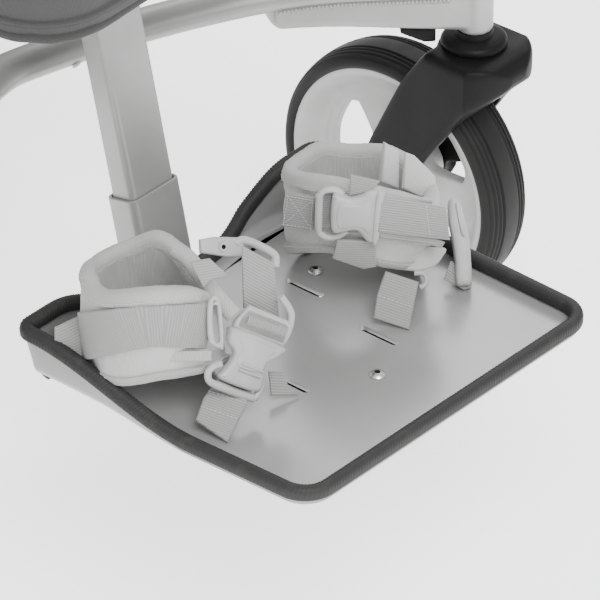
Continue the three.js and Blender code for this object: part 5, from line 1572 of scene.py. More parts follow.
@dataclass
class Cushion:
    """A stuffed cushion: its cover, the piping round its face and base, sewn channels and stitches.

    It is made lying flat, its middle on its base at the origin, and then moved to its place.
    """

    name: str
    node: str
    body: str
    place: Matrix
    width: float
    length: float
    thickness: float
    corner: float
    channels: tuple[float, ...] = ()
    fill: float = 0.8
    drop: float = 0.0
    draw_in: float = 4.0
    shares: tuple[Pair, ...] = (
        (0.0, 1.0), (0.35, 0.995), (0.66, 0.96), (0.84, 0.87), (0.94, 0.72),
        (0.985, 0.5), (1.0, 0.27), (0.99, 0.1), (0.96, 0.0), (0.0, 0.0),
    )

    def outline(self) -> list[Pair]:
        """The cushion's outer line, its sides drawn in between the corners."""
        corners = rounded(self.width, self.length, self.corner, 8)
        line = []
        for i, (x, y) in enumerate(corners):
            after = corners[(i + 1) % len(corners)]
            steps = max(1, round(math.dist((x, y), after) / 9))
            line += [(x + (after[0] - x) * k / steps, y + (after[1] - y) * k / steps) for k in range(steps)]
        drawn = []
        for x, y in line:
            along = max(0.0, 1 - (2 * y / self.length) ** 2) ** 2
            across = max(0.0, 1 - (2 * x / self.width) ** 2) ** 2
            drawn.append((x - math.copysign(self.draw_in * along, x),
                y - math.copysign(self.draw_in * across, y)))
        return drawn

    def build(self) -> None:
        """Makes the cover by simulation, then lays the piping and the stitches on it."""
        line = self.outline()
        levels = [(share or 0.02, rise) for share, rise in self.shares]
        rings = [
            [at(x * s * 1.005, y * s * 1.005, self.thickness * (r * 0.96 + 0.01)) for x, y in line]
            for s, r in levels
        ]
        soft = Puff().made(Skin().loft(rings))
        soft = soft.bent(self._worn)
        self.tree = tree_of(soft)
        cover = piece(self.name + "_cover", soft.moved(self.place), SEAT_CLOTH, self.body, [self.node],
            crease=180)
        piping, stitches = Skin(), Skin()
        for share, rise, radius in ((1.0, 0.1, 1.9), (1.0, -0.08 if self.drop else 0.06, 2.8)):
            round_line = [self._near(at(x * share, y * share, self.thickness * rise))[0] for x, y in line]
            even = spline([tuple(point) for point in round_line], 3.0, True)
            piping.add(sweep(even, oval(radius, radius, 12), loop=True))
        for share in (0.915, 0.885):
            near = [self._near(at(x * share, y * share, self.thickness)) for x, y in line]
            stitches.add(BeadLine(3.4, (2.5, 0.8, 0.6), sides=4).along([p + n * 0.15 for p, n in near],
                [n for _, n in near], True))
        for rise in self.channels:
            xs = np.linspace(-self.width * 0.45, self.width * 0.45, 90)
            near = [self._near(at(x, (rise - 0.5) * self.length, self.thickness)) for x in xs]
            stitches.add(BeadLine(3.4, (2.5, 0.8, 0.6), sides=4).along([p + n * 0.2 for p, n in near],
                [n for _, n in near]))
        piece(self.name + "_piping", piping.moved(self.place), DARK_BINDING, self.body)
        piece(self.name + "_stitches", stitches.moved(self.place), DARK_THREAD, self.body)

    def _near(self, place: Vector) -> tuple[Vector, Vector]:
        """The nearest point of the cover and the way out of it there."""
        point, normal, _, _ = self.tree.find_nearest(place)
        return point, normal

    def _worn(self, point: Vector) -> Vector:
        """A point of the cover sunk at the channels and stirred by soft creases."""
        share = min(1.0, max(0.0, point.z / self.thickness - 0.5) * 3)
        gaps = [(point.y / self.length + 0.5 - rise) * self.length / 5 for rise in self.channels]
        sink = sum(5.0 * math.exp(-(gap**2)) for gap in gaps)
        slanted = at(point.x / 9 + point.y / 14, point.y / 26, 0)
        soft = noise.noise(point / 31) * 1.8 + noise.noise(slanted) * 1.1
        out = at(point.x, point.y, 0).normalized() * soft * 0.4 * (1 - share)
        moved = point + out + UP * (soft - sink) * share
        return self._seated(at(moved.x, moved.y, max(moved.z, 0.4)))

    def _seated(self, point: Vector) -> Vector:
        """A point with the foot of the side brought out to the outline and down over the board."""
        straight = at(self.width / 2 - self.corner, self.length / 2 - self.corner, 0)
        beyond = at(max(abs(point.x) - straight.x, 0), max(abs(point.y) - straight.y, 0), 0)
        share = beyond.length / self.corner
        low = min(1.0, max(0.0, 1.7 - point.z / (0.3 * self.thickness)))
        if share < 0.7 or not low:
            return point
        grown = share + (1.0 - share) * low * min(1.0, max(0.0, point.z / 2.5))
        x = math.copysign(straight.x + beyond.x * grown / share, point.x) if beyond.x else point.x
        y = math.copysign(straight.y + beyond.y * grown / share, point.y) if beyond.y else point.y
        return at(x, y, point.z - self.drop * low * min(1.0, max(0.0, (grown - 0.89) / 0.08)))

    def over(self, x: float, y: float, gap: float) -> Vector:
        """The place above the cushion's face at a distance across and along, lifted by a gap."""
        hit, _, _, _ = self.tree.ray_cast(at(x, y, self.thickness * 3), -UP)
        return self.place @ ((hit or at(x, y, self.thickness * 0.3)) + UP * gap)

    @property
    def outward(self) -> Vector:
        """The way out of the cushion's face."""
        return self.place.to_3x3() @ UP


# Webbing and buckles


@dataclass
class Fitting:
    """A flat strap end, flap or moulded buckle part that lies in a plane of its own.

    The plane passes through an origin and faces a way; the outline is in millimetres across and up
    the plane.
    """

    origin: tuple[float, float, float]
    facing: tuple[float, float, float]

    @property
    def matrix(self) -> Matrix:
        """The matrix from the plane to the model."""
        normal = at(*self.facing).normalized()
        across = UP.cross(normal).normalized()
        return basis(across, normal.cross(across), at(*self.origin))

    def plate(
        self,
        outline: Sequence[Pair],
        thickness: float,
        edge: float,
        out: float = 0.0,
        holes: Sequence[Sequence[Pair]] = (),
        smooth: float = 0.0,
    ) -> Skin:
        """A flat piece in the plane.

        Args:
            outline: its corners.
            thickness: its thickness.
            edge: the radius of its edges.
            out: how far its middle stands out of the plane.
            holes: the corners of its openings.
            smooth: the spacing of points on a curve through the corners, or 0 for straight sides.

        Returns:
            The piece's skin, its cloth places across and along the webbing.
        """
        lines = [outline, *holes]
        if smooth:
            lines = [[(p.x, p.y) for p in spline(line, smooth, True)] for line in lines]
        skin = sheet_of(lines[0], thickness, edge, lines[1:])
        (x0, y0), (x1, y1) = outline[0], outline[1]
        way = Vector((x1 - x0, y1 - y0)).normalized()
        skin.cloth = [
            (skin.points[q].x * way.x + skin.points[q].y * way.y,
                skin.points[q].y * way.x - skin.points[q].x * way.y)
            for face in skin.faces
            for q in face
        ]
        return skin.moved(self.matrix @ Matrix.Translation(UP * out))

    def bar(self, points: Sequence[Pair], radius: float, out: float = 0.0, flat: float = 1.0) -> Skin:
        """A round bar along points in the plane."""
        line = spline(points, 1.5) if len(points) > 2 else [Vector((*point, 0)) for point in points]
        skin = sweep(line, oval(radius, radius * flat, 16))
        return skin.moved(self.matrix @ Matrix.Translation(UP * out))

    def stitches(self, points: Sequence[Pair], out: float, loop: bool = False) -> Skin:
        """A row of stitches along points in the plane."""
        matrix = self.matrix @ Matrix.Translation(UP * out)
        corners = [matrix @ Vector((*point, 0)) for point in points]
        facing = at(*self.facing).normalized()
        return BeadLine(2.6, (1.9, 0.6, 0.5), sides=5).along(corners, [facing] * len(corners), loop)


# Ankle cuffs


@dataclass
class Cuff:
    """A padded ankle cuff: band, lining, bindings and the webbing that goes round it."""

    name: str
    centre: Pair
    lean: Pair
    turn: float
    half: Pair
    flare: float
    rim: tuple[float, ...]
    foot: tuple[float, ...]
    skirt: float
    band: tuple[Pair, ...]
    base: float = 172.0
    wall: float = 7.2
    webbing: float = 29.0
    steps: int = 144

    def edges(self, angle: float) -> Pair:
        """The heights of the band's lower edge and of its rim over the pan."""
        stops = [15 * k for k in range(25)]
        near = [(angle + turn) % 360 for turn in (-6, -2, 2, 6)]
        low, high = (np.interp(near, stops, [*marks, marks[0]]) for marks in (self.foot, self.rim))
        return float(np.mean(low)), float(np.mean(high))

    def spot(self, angle: float, out: float, rise: float) -> Vector:
        """A point round the cuff.

        Args:
            angle: the turn round it in degrees, 0 towards the child's left.
            out: how far outside the middle of the wall.
            rise: the share of the way from the lower edge to the rim.

        Returns:
            The point.
        """
        foot, top = self.edges(angle)
        turn, way = math.radians(self.turn), math.radians(angle)
        spread = self.flare * rise + self.skirt * (1 - rise) * (1 - math.cos(way)) / 2
        x = (self.half[0] + spread + out) * math.cos(way)
        y = (self.half[1] + spread + out) * math.sin(way)
        return at(
            self.centre[0] + x * math.cos(turn) - y * math.sin(turn) + self.lean[0] * rise,
            self.centre[1] + x * math.sin(turn) + y * math.cos(turn) + self.lean[1] * rise,
            self.base + foot + (top - foot) * rise,
        )

    def beside(self, angle: float, out: float, height: float) -> Vector:
        """A point round the cuff at a height over the pan."""
        foot, top = self.edges(angle)
        return self.spot(angle, out, (height - foot) / (top - foot))

    def away(self, angle: float, rise: float = 0.5) -> Vector:
        """The level way out of the cuff."""
        way = self.spot(angle, 1, rise) - self.spot(angle, 0, rise)
        return at(way.x, way.y, 0).normalized()

    def build(self) -> None:
        """Makes the band, the lining, both bindings and their stitches."""
        shares = [(-0.4, 0.02), (-0.58, 0.2), (-0.62, 0.5), (-0.58, 0.82), (-0.38, 0.98)]
        shares += [(0.38, 0.98), (0.6, 0.84), (0.68, 0.5), (0.6, 0.2), (0.4, 0.02)]
        section = [(p.x, p.y / 90) for p in spline([(a * self.wall, b * 90) for a, b in shares], 2.4, True)]
        rings = []
        for i in range(self.steps):
            angle = 360 * i / self.steps
            rings.append(
                [self.spot(angle, out + self._crease(angle, rise, out), rise) for out, rise in section]
            )
        shell = piece("cuff_band_" + self.name, Skin().loft(rings, loop=True), CUFF_CLOTH, "footplate",
            ["ankle_cuff_" + self.name])
        self._lining()
        tape, thread = Skin(), Skin()
        for rise, way, depth in ((1.0, 1, 8.0), (0.0, -1, 7.0)):
            outline = [(-4.9, -depth), (-4.9, -4), (-4, -0.9), (-2.2, 0.5), (0, 0.9), (2.2, 0.5)]
            outline += [(4, -0.9), (4.9, -4), (5.6, -depth), (4.2, -depth), (-3.8, -depth)]
            rings, marks, facing = [], [], []
            for i in range(self.steps):
                angle = 360 * i / self.steps
                base, out = self.spot(angle, 0, rise), self.away(angle, rise)
                puff = 0.35 * math.sin(math.radians(angle) * 23) + 0.25 * math.sin(math.radians(angle) * 41)
                rings.append([base + out * (s + math.copysign(puff, s)) + UP * way * r for s, r in outline])
                marks.append(base + out * (5.5 + abs(puff)) - UP * way * (depth - 1.9))
                facing.append(out)
            tape.add(Skin().loft(rings, loop=True))
            thread.add(BeadLine(2.7, (2.0, 0.65, 0.5), sides=5).along(marks, facing, True))
        piece("cuff_binding_" + self.name, tape, BINDING, "footplate")
        piece("cuff_stitches_" + self.name, thread, THREAD, "footplate")

    def _crease(self, angle: float, rise: float, out: float) -> float:
        """How far soft creases push the wall out at a point."""
        way = math.radians(angle)
        point = at(math.cos(way) * 34, math.sin(way) * 34, rise * 70 + self.centre[0])
        return math.copysign(1, out) * (noise.noise(point / 15) * 1.5 + noise.noise(point / 6) * 0.5)

    def _lining(self) -> None:
        """The soft lining, tufted in rows, on the inside of the wall."""
        rings = []
        for i in range(self.steps):
            angle = 360 * i / self.steps
            inside, outside = [], []
            for k in range(13):
                rise = 0.05 + 0.88 * k / 12
                tuft = 0.35 * math.sin(math.radians(angle) * 14) * math.sin(rise * 19)
                inside.append(self.spot(angle, -0.62 * self.wall - 1.2 - tuft, rise))
                outside.append(self.spot(angle, -0.2 * self.wall, rise))
            rings.append(inside + outside[::-1])
        # The lining cloth's lower grey is painted shade for the inside of the cuff.
        lining = piece("cuff_lining_" + self.name, Skin().loft(rings, loop=True), LINING, "footplate")

    def strap(self, marks: Sequence[Pair], out: float = 6.4) -> Skin:
        """Webbing round the cuff.

        Args:
            marks: pairs of an angle and the height of the webbing's middle over the pan.
            out: how far the webbing's middle is from the wall's middle.

        Returns:
            The webbing's skin.
        """
        angles = np.arange(marks[0][0], marks[-1][0] + 0.1, 3 if marks[-1][0] > marks[0][0] else -3)
        order = sorted(marks)
        points, lifts = [], []
        for angle in angles:
            height = float(np.interp(angle, [mark[0] for mark in order], [mark[1] for mark in order]))
            low, high = self.beside(angle, out, height - 12), self.beside(angle, out, height + 12)
            points.append((low + high) / 2)
            lifts.append((high - low).normalized())
        section = [(s, r) for r, s in rounded(self.webbing, 1.8, 0.8, 3)]
        return sweep(points, section, lifts)


@dataclass
class Restraints:
    """Both ankle cuffs with their webbing, sliders and side release buckles."""

    body: str = "footplate"

    def build(self) -> None:
        """Makes both cuffs and all that is sewn or clipped on them."""
        right = Cuff(
            name="r",
            centre=(-89, 42),
            lean=(-10.5, 3),
            turn=-12,
            half=(31, 37),
            flare=2.0,
            rim=(
                75, 84, 90, 89, 83, 80.5, 79.3, 78.5, 80, 84, 86, 83.5, 83.8, 88, 92.4, 95.6, 96.9, 96,
                93.5, 89, 81.5, 75, 72.5, 71.5,
            ),
            foot=(
                4, 3, 2, 1.5, 1, 1, 1, 1, 1.5, 4, 11.5, 17, 19.5, 22, 27.5, 33, 34.4, 33.9, 31.9, 29,
                24.5, 18.2, 10.3, 6,
            ),
            skirt=12.0,
            band=(
                (135, 29), (150, 37.2), (165, 46), (180, 55), (195, 62.8), (210, 69.5), (225, 73.7),
                (240, 74.4), (255, 72.6), (270, 68.7), (282, 64.5),
            ),
        )
        left = Cuff(
            name="l",
            centre=(79, 27),
            lean=(-2, -4),
            turn=14,
            half=(31, 38),
            flare=7.5,
            rim=(
                77, 75, 73.5, 76, 79, 76, 76.5, 79.5, 82, 86, 90.5, 94.3, 96.6, 96.6, 94.2, 90.5, 85.7,
                79, 72, 69, 70, 72.5, 73.5, 75,
            ),
            foot=(
                3, 2, 1, 1, 1, 2, 5, 9, 15.8, 23, 29.7, 35.5, 40, 39, 35.5, 31, 26, 22, 17, 11, 5, 2, 2, 3,
            ),
            skirt=6.0,
            band=((187, 74.5), (195, 76), (210, 77), (225, 75), (240, 69.8), (255, 63)),
        )
        for cuff in (right, left):
            cuff.build()
        self._right(right)
        self._left(left)

    def _webbing(self, name: str, skin: Skin, replaces: Sequence[str] = ()) -> None:
        """A webbing piece."""
        piece(name, skin, WEBBING, self.body, replaces, crease=50)

    def _right(self, cuff: Cuff) -> None:
        """The right cuff's strap, slider, ladder lock, buckle and loose end."""
        band = cuff.strap(cuff.band[::-1])
        anchor = Fitting((-133, 78.9, 204.9), (-0.6323, -0.5362, 0.5592))
        band.add(anchor.plate([(-9.5, 10.9), (13.8, 21.9), (18.8, -4.4), (6.3, -10.4), (-9.5, -2)], 1.8,
            0.8))
        self._webbing("ankle_webbing_r", band, ["cuff_strap_r"])
        drop = Fitting((-62, -3, 236), (-0.3, -0.92, 0.25))
        panel = drop.plate([(1.8, 36.3), (21.6, 18.7), (19.8, -16.3), (-3.4, -2.8)], 1.8, 0.8)
        keeper = Fitting((-98.1, -0.6, 244.9), (-0.6, -0.75, 0.28))
        panel.add(keeper.plate([(-7.3, 33.9), (4.9, 34.6), (14.9, 23.4), (4.2, 21.1), (0, 17)], 2.4, 1,
            1))
        tail = Fitting((-84, -18, 191), (-0.35, -0.38, 0.86))
        panel.add(tail.plate([(-15.1, 6.8), (4.9, -3.1), (-1.2, -15.5), (-12.9, -35.6), (-30.7, -19.5),
            (-24.5, -5.2)], 3.4, 1.3))
        stub = Fitting((-49, -30, 178), (-0.3, -0.75, 0.55))
        panel.add(stub.plate([(-14.5, 14.2), (-4.2, 10.8), (-4.8, -0.2), (1.5, -5), (-17, -0.8)], 2,
            0.9))
        front = Fitting((-76, -15.5, 212), (-0.3, -0.87, 0.36))
        panel.add(front.bar([(2.3, 20.6), (25.7, 4.8)], 3.6, 1.6, 0.8))
        self._webbing("drop_webbing_r", panel, ["strap_tail_r"])
        lock = front.plate(
            [(6.2, 28.6), (29.4, 11.4), (31.4, 8.5), (22.6, -3.4), (-7.6, 18.4), (-5.6, 22)], 4.4, 1.7, 1.2,
            [[(3.8, 24.2), (25.2, 9), (27.2, 5.6), (22.2, 1.4), (-2.2, 18.6), (0.2, 22)]],
        )
        lock.add(front.bar([(28.5, 27), (32.6, 17.4), (32.4, 11.3), (27.7, 3.2), (21.4, -2.4)], 2.3, 0.6))
        body = [(-7.1, 18.4), (21.8, -2.9), (17.5, -7.8), (9.8, -9.2), (5.4, -12.5), (4.7, -17),
            (-2, -24.2), (-23.2, -9.2)]
        body += [(-19.3, -4.4), (-13.8, -0.6), (-10.6, 4), (-13.3, 11), (-11.8, 16.2)]
        lock.add(front.plate(body, 8.4, 2.6, 2.4, smooth=1.6))
        lock.add(front.plate([(-4.5, 12.6), (14.6, -1.6), (8.6, -6.2), (1.6, -12.6), (-12.4, -3.6),
            (-7, 4.4)], 2.2, 1, 6.2, smooth=1.6))
        for ridge in ((0, 0), (2.4, 2.8)):
            line = [(-11.6 + ridge[0], -6.4 + ridge[1]), (1.4 + ridge[0], -15.6 + ridge[1])]
            lock.add(front.bar(line, 0.8, 7.4))
        lock.add(front.bar([(-19.7, -1.2), (-25.4, -1.3), (-29.4, -4.2), (-29.6, -9.2), (-25.6, -12.9)],
            2.3, 1))
        lock.add(front.bar([(4.6, -15.9), (4.2, -20.8), (1.4, -26.1), (-2.8, -29)], 2.3, 1))
        lock.add(front.bar([(-26.2, -12.4), (-14.4, -21.2), (-2.4, -29)], 2.7, 0.6))
        piece("front_buckle_r", lock, PALE, self.body, ["front_clip_r"], crease=50)
        top = Fitting((-50, 17, 258), (-0.3, -0.8, 0.52))
        tongue = [(-21.6, 13.4), (-11.7, 12.4), (5.3, 7.2), (5.6, -5.2), (-8, -1.2), (-15.7, 2.2),
            (-23.4, 5.4)]
        slider = top.plate(tongue, 4.2, 1.6, 1.4)
        slider.add(turned([(0, 1.5), (0, 3.4), (1.3, 3.1), (1.3, 1.5)], top.matrix @ at(-8.4, 5, 3.2),
            at(*top.facing).normalized(), 24))
        slider.add(top.bar([(0.4, 4.2), (5, 5.4), (11.8, 2.1), (22.2, -6.9), (23.9, -10.9), (22.2, -16)],
            2.7, 1.6))
        side = Fitting((-96.8, -5.2, 239.8), (-0.55, -0.8, 0.25))
        outline = [(4.9, 15.4), (-1.6, 15.9), (-3.6, 2.9), (-3.4, -10.6), (1.5, -14.4), (5.2, -14.8)]
        slot = [(2.9, 12), (0.9, 12.2), (-0.4, 2), (0, -9.4), (2.9, -10.6)]
        slider.add(side.plate(outline, 4.6, 1.7, 3, [slot], smooth=1.4))
        piece("slider_r", slider, PALE, self.body, ["side_clip_r"], crease=50)
        pin = rod(3.1, top.matrix @ at(-8.4, 5, 2.6), top.matrix @ at(-8.4, 5, 3.9), 0.4, 20)
        piece("slider_rivet_r", pin, DARK, self.body)
        roll = spline([(-84, 35, 269), (-83.1, 24.6, 265.2), (-83.2, 14.1, 256.2), (-81.9, 2.6, 246.2),
            (-80.1, -7.9, 237.7)], 1.5)
        tube = sweep(roll, oval(5.4, 5.4, 18), at(-0.6, 0.2, 0.7))
        piece("padded_roll_r", tube, BINDING, self.body)
        patch = Fitting((-118.9, -3.1, 202), (-0.75, -0.62, 0.2))
        piece("blank_patch_r", patch.plate([(-18.1, 24.3), (15.5, 25.2), (15.5, 18.8), (-18.2, 17.5)], 0.9,
            0.3), LINING, self.body)
        thread = tail.stitches([(-20.6, -1.6), (0.2, -11)], 1.9)
        thread.add(tail.stitches([(-25.6, -11.6), (-6.4, -20.6)], 1.9))
        piece("strap_stitches_r", thread, THREAD, self.body)

    def _left(self, cuff: Cuff) -> None:
        """The left cuff's strap, keepers, both buckles and loose end."""
        self._webbing("ankle_webbing_l", cuff.strap(cuff.band), ["cuff_strap_l"])
        lead = Fitting((35.1, 11.5, 243.8), (-0.85, -0.52, -0.05))
        strap = Fitting((71.3, -27.8, 238.5), (-0.45, -0.89, -0.02))
        low = Fitting((49.7, -10.5, 228.9), (-0.72, -0.69, -0.05))
        high = Fitting((45.3, -10.8, 266.5), (-0.72, -0.69, -0.05))
        tail = Fitting((67, -20, 200), (-0.55, -0.5, 0.67))
        patch = Fitting((32.2, 26.8, 241.4), (-0.95, -0.3, -0.03))
        webbing = lead.plate([(-9, 14.6), (0.6, 17.4), (-1, -9.4), (-9.6, -11.6)], 2, 0.9, 0.4)
        webbing.add(strap.plate([(-28.2, 28.5), (-8.5, 20.6), (18.3, 6.5), (22, -18.5), (-8.1, -7.6),
            (-27.9, 0.6)], 2.2, 0.9, 1.6))
        webbing.add(strap.plate([(-27.1, 2.1), (-1.8, -7.6), (19.4, -20.3), (17, -24.1), (4.2, -17.5),
            (-25.7, -5.6)], 2, 0.9))
        webbing.add(low.plate([(-23, 1.4), (0.6, -0.3), (1.7, -20.3), (-6.3, -21.9), (-25.9, -12.8)], 2.2,
            0.9, 1))
        webbing.add(high.plate([(-12.7, 14), (5.7, 8.2), (0.2, 1.2), (-13.1, -1.5)], 2.2, 0.9, 1))
        webbing.add(tail.plate([(-10.9, 0.5), (10, -7), (6, -24), (3.1, -37.2), (-19.2, -29.2),
            (-16.3, -14.1)], 3.2, 1.3))
        webbing.add(patch.plate([(-15, 12.7), (4.1, 13.7), (2.7, -11.8), (-19.1, -13.9)], 2.4, 1, 0.6))
        hang = Fitting((112, -38, 178), (-0.6323, -0.5362, 0.5592))
        webbing.add(hang.plate([(-11.4, 12.7), (2.5, 3), (1.8, -4.6), (-2.8, -6), (-16, 0.6)], 2.4,
            1))
        self._webbing("drop_webbing_l", webbing, ["strap_tail_l"])
        front = Fitting((40.1, -0.8, 249.3), (-0.74, -0.67, -0.05))
        body = [(-12.1, 16.2), (-7.1, 15.7), (-1.6, 13.7), (4.9, 15.8), (9.8, 19.4), (17.3, 19.9),
            (19.8, 15.9), (18.2, -0.7), (16.7, -16.2)]
        body += [(14.2, -20), (9.5, -19.1), (6.8, -15.9), (4.2, -11.6), (1, -9.8), (-5.5, -10.9),
            (-11.5, -11.8), (-13.6, -4.3)]
        buckle = front.plate(body, 8.6, 2.6, 2.6, smooth=1.6)
        buckle.add(front.plate([(-8.4, 10.1), (3.6, 10.1), (10.1, 12.6), (10.5, -11), (4.5, -6.5),
            (-9, -6.5)], 2.2, 1, 6.4, smooth=1.6))
        buckle.add(front.plate([(14.3, 16.6), (17.5, 16.7), (15.3, -16.5), (12.5, -16.9)], 2.4, 1, 6.6,
            smooth=1.4))
        buckle.add(front.bar([(-21.1, -8.9), (-20.3, -14.6), (-14.9, -18), (-8.5, -16.8), (-3, -12.6)],
            2.2, 1))
        buckle.add(front.bar([(-20.5, 13.6), (-17.5, 17.8), (-10.9, 18.1), (-6.3, 15.2)], 2.2, 1))
        buckle.add(front.bar([(-21.1, -9.4), (-20.5, 14)], 2.5, 1))
        piece("front_buckle_l", buckle, PALE, self.body, ["front_clip_l"], crease=50)
        edge = Fitting((121, -25, 202), (-0.6323, -0.5362, 0.5592))
        outline = [(-8.6, 21.8), (-5.3, 24), (-1.8, 21.8), (1.2, 10.5), (3.8, -0.5), (5.4, -15),
            (5.8, -29.9), (1, -31.6), (-3.8, -30.6)]
        outline += [(-4.6, -16), (-6.3, -2.5), (-8.4, 9.7)]
        side = edge.plate(outline, 26, 3, -6, smooth=1.8)
        side.add(edge.plate([(-4.4, 19.6), (-2.2, 19), (2, 1.5), (-0.6, 1)], 1.6, 0.6, 7.8,
            smooth=1.4))
        loop = Fitting((80, -22, 192), (-0.55, -0.62, 0.56))
        side.add(loop.bar([(-2.4, 0.9), (2.7, 0.5), (5, -2.7), (4.2, -6.7), (0.4, -8.4)], 1.7, 0.8))
        piece("side_buckle_l", side, PALE, self.body, ["side_clip_l"], crease=50)
        flap = Fitting((92, -19, 206), (-0.4, -0.8, 0.45))
        shape = [(-32.9, 11.4), (-4, 0.9), (11.8, -3.6), (8.5, -9.1), (2.1, -13.4), (-9.1, -14),
            (-21.6, -10.2), (-36.8, -3.2)]
        cloth = flap.plate(shape, 5, 2.3, 1, smooth=2.0)
        upright = Fitting((84, 0, 246), (-0.45, -0.86, 0.22))
        cloth.add(upright.plate([(-5.8, 31.9), (3.9, 24), (1.3, -1.1), (-11.1, 6.9)], 6, 2.6))
        panel = Fitting((108, -12, 238), (-0.15, -0.96, 0.22))
        cloth.add(panel.plate([(-19, 32.8), (-12.5, 28.1), (1.7, 8.5), (-2.1, -8.8), (-25.7, 10.8)], 3.4,
            1.5))
        piece("ankle_flaps_l", cloth, CUFF_CLOTH, self.body, crease=50)
        thread = patch.stitches([(-13.9, 10.6), (2.6, 11.4), (1.4, -9.8), (-17.4, -11.6)], 2.4, True)
        thread.add(patch.stitches([(-13.9, 10.6), (1.4, -9.8)], 2.4))
        thread.add(patch.stitches([(2.6, 11.4), (-17.4, -11.6)], 2.4))
        thread.add(tail.stitches([(-14.8, -15.6), (4.2, -22.6)], 1.8))
        thread.add(strap.stitches([(4.3, 11.8), (7.4, -9.8)], 2.9))
        piece("strap_stitches_l", thread, THREAD, self.body)


# Seat, back and harness


@dataclass
class Seating:
    """The seat and back cushions, the lap belt and the shoulder harness."""

    seat_front: float = 79.0
    seat_rear: float = 378.0
    seat_base: float = 417.0
    seat_width: float = 282.0
    seat_thickness: float = 56.0
    hinge: Pair = (397.0, 429.0)
    lean: float = math.radians(15)
    pad_out: float = 12.3
    belt_y: float = 262.0
    harness_x: float = 58.0

    def back_matrix(self, middle: float) -> Matrix:
        """The matrix of a cushion that lies on the back, its middle at a rise."""
        up = at(0, math.sin(self.lean), math.cos(self.lean))
        out = at(0, -math.cos(self.lean), math.sin(self.lean))
        place = at(0, *self.hinge) + up * middle + out * self.pad_out
        return basis(ACROSS, up, place)

    def build(self) -> None:
        """Makes the three cushions, then the webbing that lies on them."""
        middle = at(0, (self.seat_front + self.seat_rear) / 2, self.seat_base)
        length = self.seat_rear - self.seat_front
        seat = Cushion("seat", "seat_pad", "seat", Matrix.Translation(middle), self.seat_width, length,
            self.seat_thickness, 46.0, drop=7.5)
        back = Cushion("back", "back_pad", "backrest", self.back_matrix(233), 300.0, 410.0, 48.0, 40.0,
            (0.3, 0.56, 0.8))
        head = Cushion("head", "head_pad", "backrest", self.back_matrix(514), 236.0, 124.0, 52.0, 40.0)
        for cushion in (seat, back, head):
            cushion.build()
        self._belt(seat)
        self._harness(back)

    def _belt(self, seat: Cushion) -> None:
        """The lap belt over the cushion and its buckle."""
        y = self.belt_y - (self.seat_front + self.seat_rear) / 2
        half = self.seat_width / 2
        over = [seat.over(x, y, 1.4) for x in np.linspace(-half + 10, half - 10, 50)]
        ends = [at(half - 6, self.belt_y, self.seat_base - 2.5),
            at(half + 1.0, self.belt_y, self.seat_base + 1)]
        ends += [at(half + 2.6, self.belt_y, self.seat_base + 14),
            at(half + 1.4, self.belt_y, self.seat_base + 32)]
        left = [at(-point.x, point.y, point.z) for point in ends]
        line = spline([tuple(point) for point in left + over + ends[::-1]], 2.5)
        piece("lap_webbing", sweep(line, rounded(1.8, 30, 0.8, 3), REAR), DARK_WEBBING, "seat",
            ["lap_belt"], crease=50)
        top = seat.over(0, y, 2.4)
        self._buckle("lap_buckle", Matrix.Translation(top), "seat", ["belt_buckle"])

    def _buckle(self, name: str, matrix: Matrix, body: str, replaces: Sequence[str] = ()) -> None:
        """A side release buckle lying across a belt."""
        shape = [(-28, 17), (-12, 18.5), (2, 16), (6, 19), (24, 18.5), (28, 14), (28, -14), (24, -18.5),
            (6, -19), (2, -16)]
        shape += [(-12, -18.5), (-28, -17)]
        skin = sheet_of([(p.x, p.y) for p in spline(shape, 2.0, True)], 9.0,
            2.8).moved(Matrix.Translation(at(0, 0, 5)))
        window = sheet_of(rounded(16, 24, 4), 2.4, 0.9).moved(Matrix.Translation(at(14, 0, 9.4)))
        for x in (-22, -18, -14):
            skin.add(rod(1.0, at(x, -11, 9.4), at(x, 11, 9.4), 0.3, 10))
        piece(name, skin.add(window).moved(matrix), DARK, body, replaces, crease=50)

    def _harness(self, back: Cushion) -> None:
        """Two shoulder straps with pads, and a chest strap with its buckle."""
        webbing, pads = Skin(), Skin()
        for sign in (-1, 1):
            x = sign * self.harness_x
            places = [(rise, back.over(x, rise - 233, 1.3)) for rise in np.linspace(62, 348, 70)]
            places = [places[0]] + [place for place in places[1:-1]] + [places[-1]]
            line = spline([tuple(point) for _, point in places], 3.0)
            webbing.add(sweep(line, rounded(30, 1.8, 0.8, 3), back.outward))
            run = [point + back.outward * 4.6 for rise, point in places if 236 < rise < 340]
            pads.add(sweep(spline([tuple(point) for point in run], 3.0), rounded(44, 7.5, 3.4, 5),
                back.outward))
            for rise in (64, 346):
                ring = sheet_of(rounded(42, 10, 3), 2.6, 1.0, [rounded(32, 4, 1.5)])
                webbing.add(ring.moved(back.place @ Matrix.Translation(back.place.inverted() @ back.over(x,
                    rise - 233, 1.6))))
        chest = [back.over(x, 225 - 233, 3.6) for x in np.linspace(-self.harness_x - 12,
            self.harness_x + 12, 40)]
        rise = back.place.to_3x3() @ REAR
        webbing.add(sweep(chest, rounded(1.8, 30, 0.8, 3), rise))
        piece("harness_webbing", webbing, DARK_WEBBING, "backrest", ["shoulder_harness"], crease=50)
        soft = piece("harness_pads", pads, SEAT_CLOTH, "backrest", crease=60)
        place = Matrix.Translation(back.over(0, 225 - 233, 4.4)) @ back.place.to_3x3().to_4x4()
        self._buckle("chest_buckle", place, "backrest")


# Frame


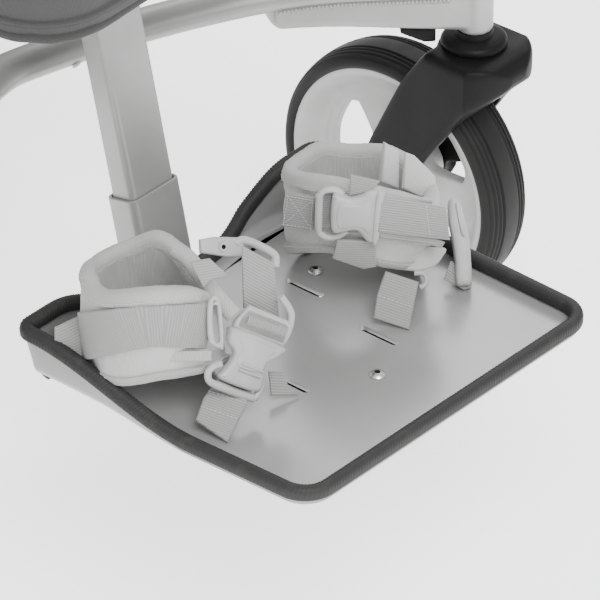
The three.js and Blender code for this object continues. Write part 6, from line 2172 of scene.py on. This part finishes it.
@dataclass
class Rounded:
    """CAD pieces that keep their shape: each is remeshed finely and its facets are smoothed away."""

    voxel: float
    rounds: int
    finish: Finish

    def build(self, node: str, body: str) -> None:
        """Makes one piece from the node's own mesh."""
        skin = skin_of(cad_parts[node].data)
        back = Matrix.Translation(at(0, -SHIFT_Y, 0)) @ Matrix.Scale(1 / METRE, 4)
        skin.cloth = [(0.0, 0.0)] * sum(len(face) for face in skin.faces)
        solid = Sculpt(self.voxel, self.rounds).made([skin.moved(back)])
        piece(node + "_finished", solid, self.finish, body, [node], crease=60)


def build_frame() -> None:
    """Makes the tubes, hubs, handle and fittings that keep the CAD model's shape."""
    paint, fine, close = Rounded(2.2, 14, SILVER), Rounded(1.9, 6, SILVER), Rounded(1.3, 3, SILVER)
    dark, metal = Rounded(1.4, 6, DARK), Rounded(0.8, 4, STEEL)
    dress("seat_board", DARK)
    for maker, node, body in (
        (paint, "side_frame_r", "chassis"),
        (paint, "side_frame_l", "chassis"),
        (paint, "tilt_tube", "chassis"),
        (fine, "rear_axle", "chassis"),
        (close, "handle_arm_r", "handle"),
        (close, "handle_arm_l", "handle"),
        (close, "handle_bar", "push_bar"),
        (fine, "seat_frame", "seat"),
        (paint, "back_frame", "backrest"),
        (fine, "hanger_bracket", "seat"),
        (dark, "swivel_lock_r", "lock_r"),
        (dark, "swivel_lock_l", "lock_l"),
        (dark, "hub_r", "chassis"),
        (dark, "hub_l", "chassis"),
        (dark, "brake_pedal", "brake"),
        (dark, "fold_button_r", "button_r"),
        (dark, "fold_button_l", "button_l"),
        (dark, "plate_bracket", "footplate"),
        (metal, "hanger_pin", "seat"),
        (metal, "ankle_pin", "leg_sleeve"),
        (Rounded(2.2, 10, FOAM), "handle_grip", "push_bar"),
    ):
        maker.build(node, body)


def main() -> None:
    """Builds every sub-assembly in order."""
    logging.basicConfig(level=logging.INFO, format="%(name)s %(message)s")
    Stage().build()
    front = Front()
    front.build()
    for name, sign in SIDES.items():
        caster = Caster(name, sign, front)
        caster.build()
        Wheel("front_" + name, "front_wheel_" + name, caster.axle, 97.0, 44.0, 84.0, 3, 20.0, 5.3,
            sign).build()
        rear = at(sign * 290.0, REAR_AXLE_Y, 150.0)
        Wheel("rear_" + name, "rear_wheel_" + name, rear, 150.0, 46.0, 122.0, 5, 20.0, 6.3, sign).build()
    LegRest().build()
    Footplate().build()
    Restraints().build()
    Seating().build()
    build_frame()


if __name__ == "__main__":
    main()
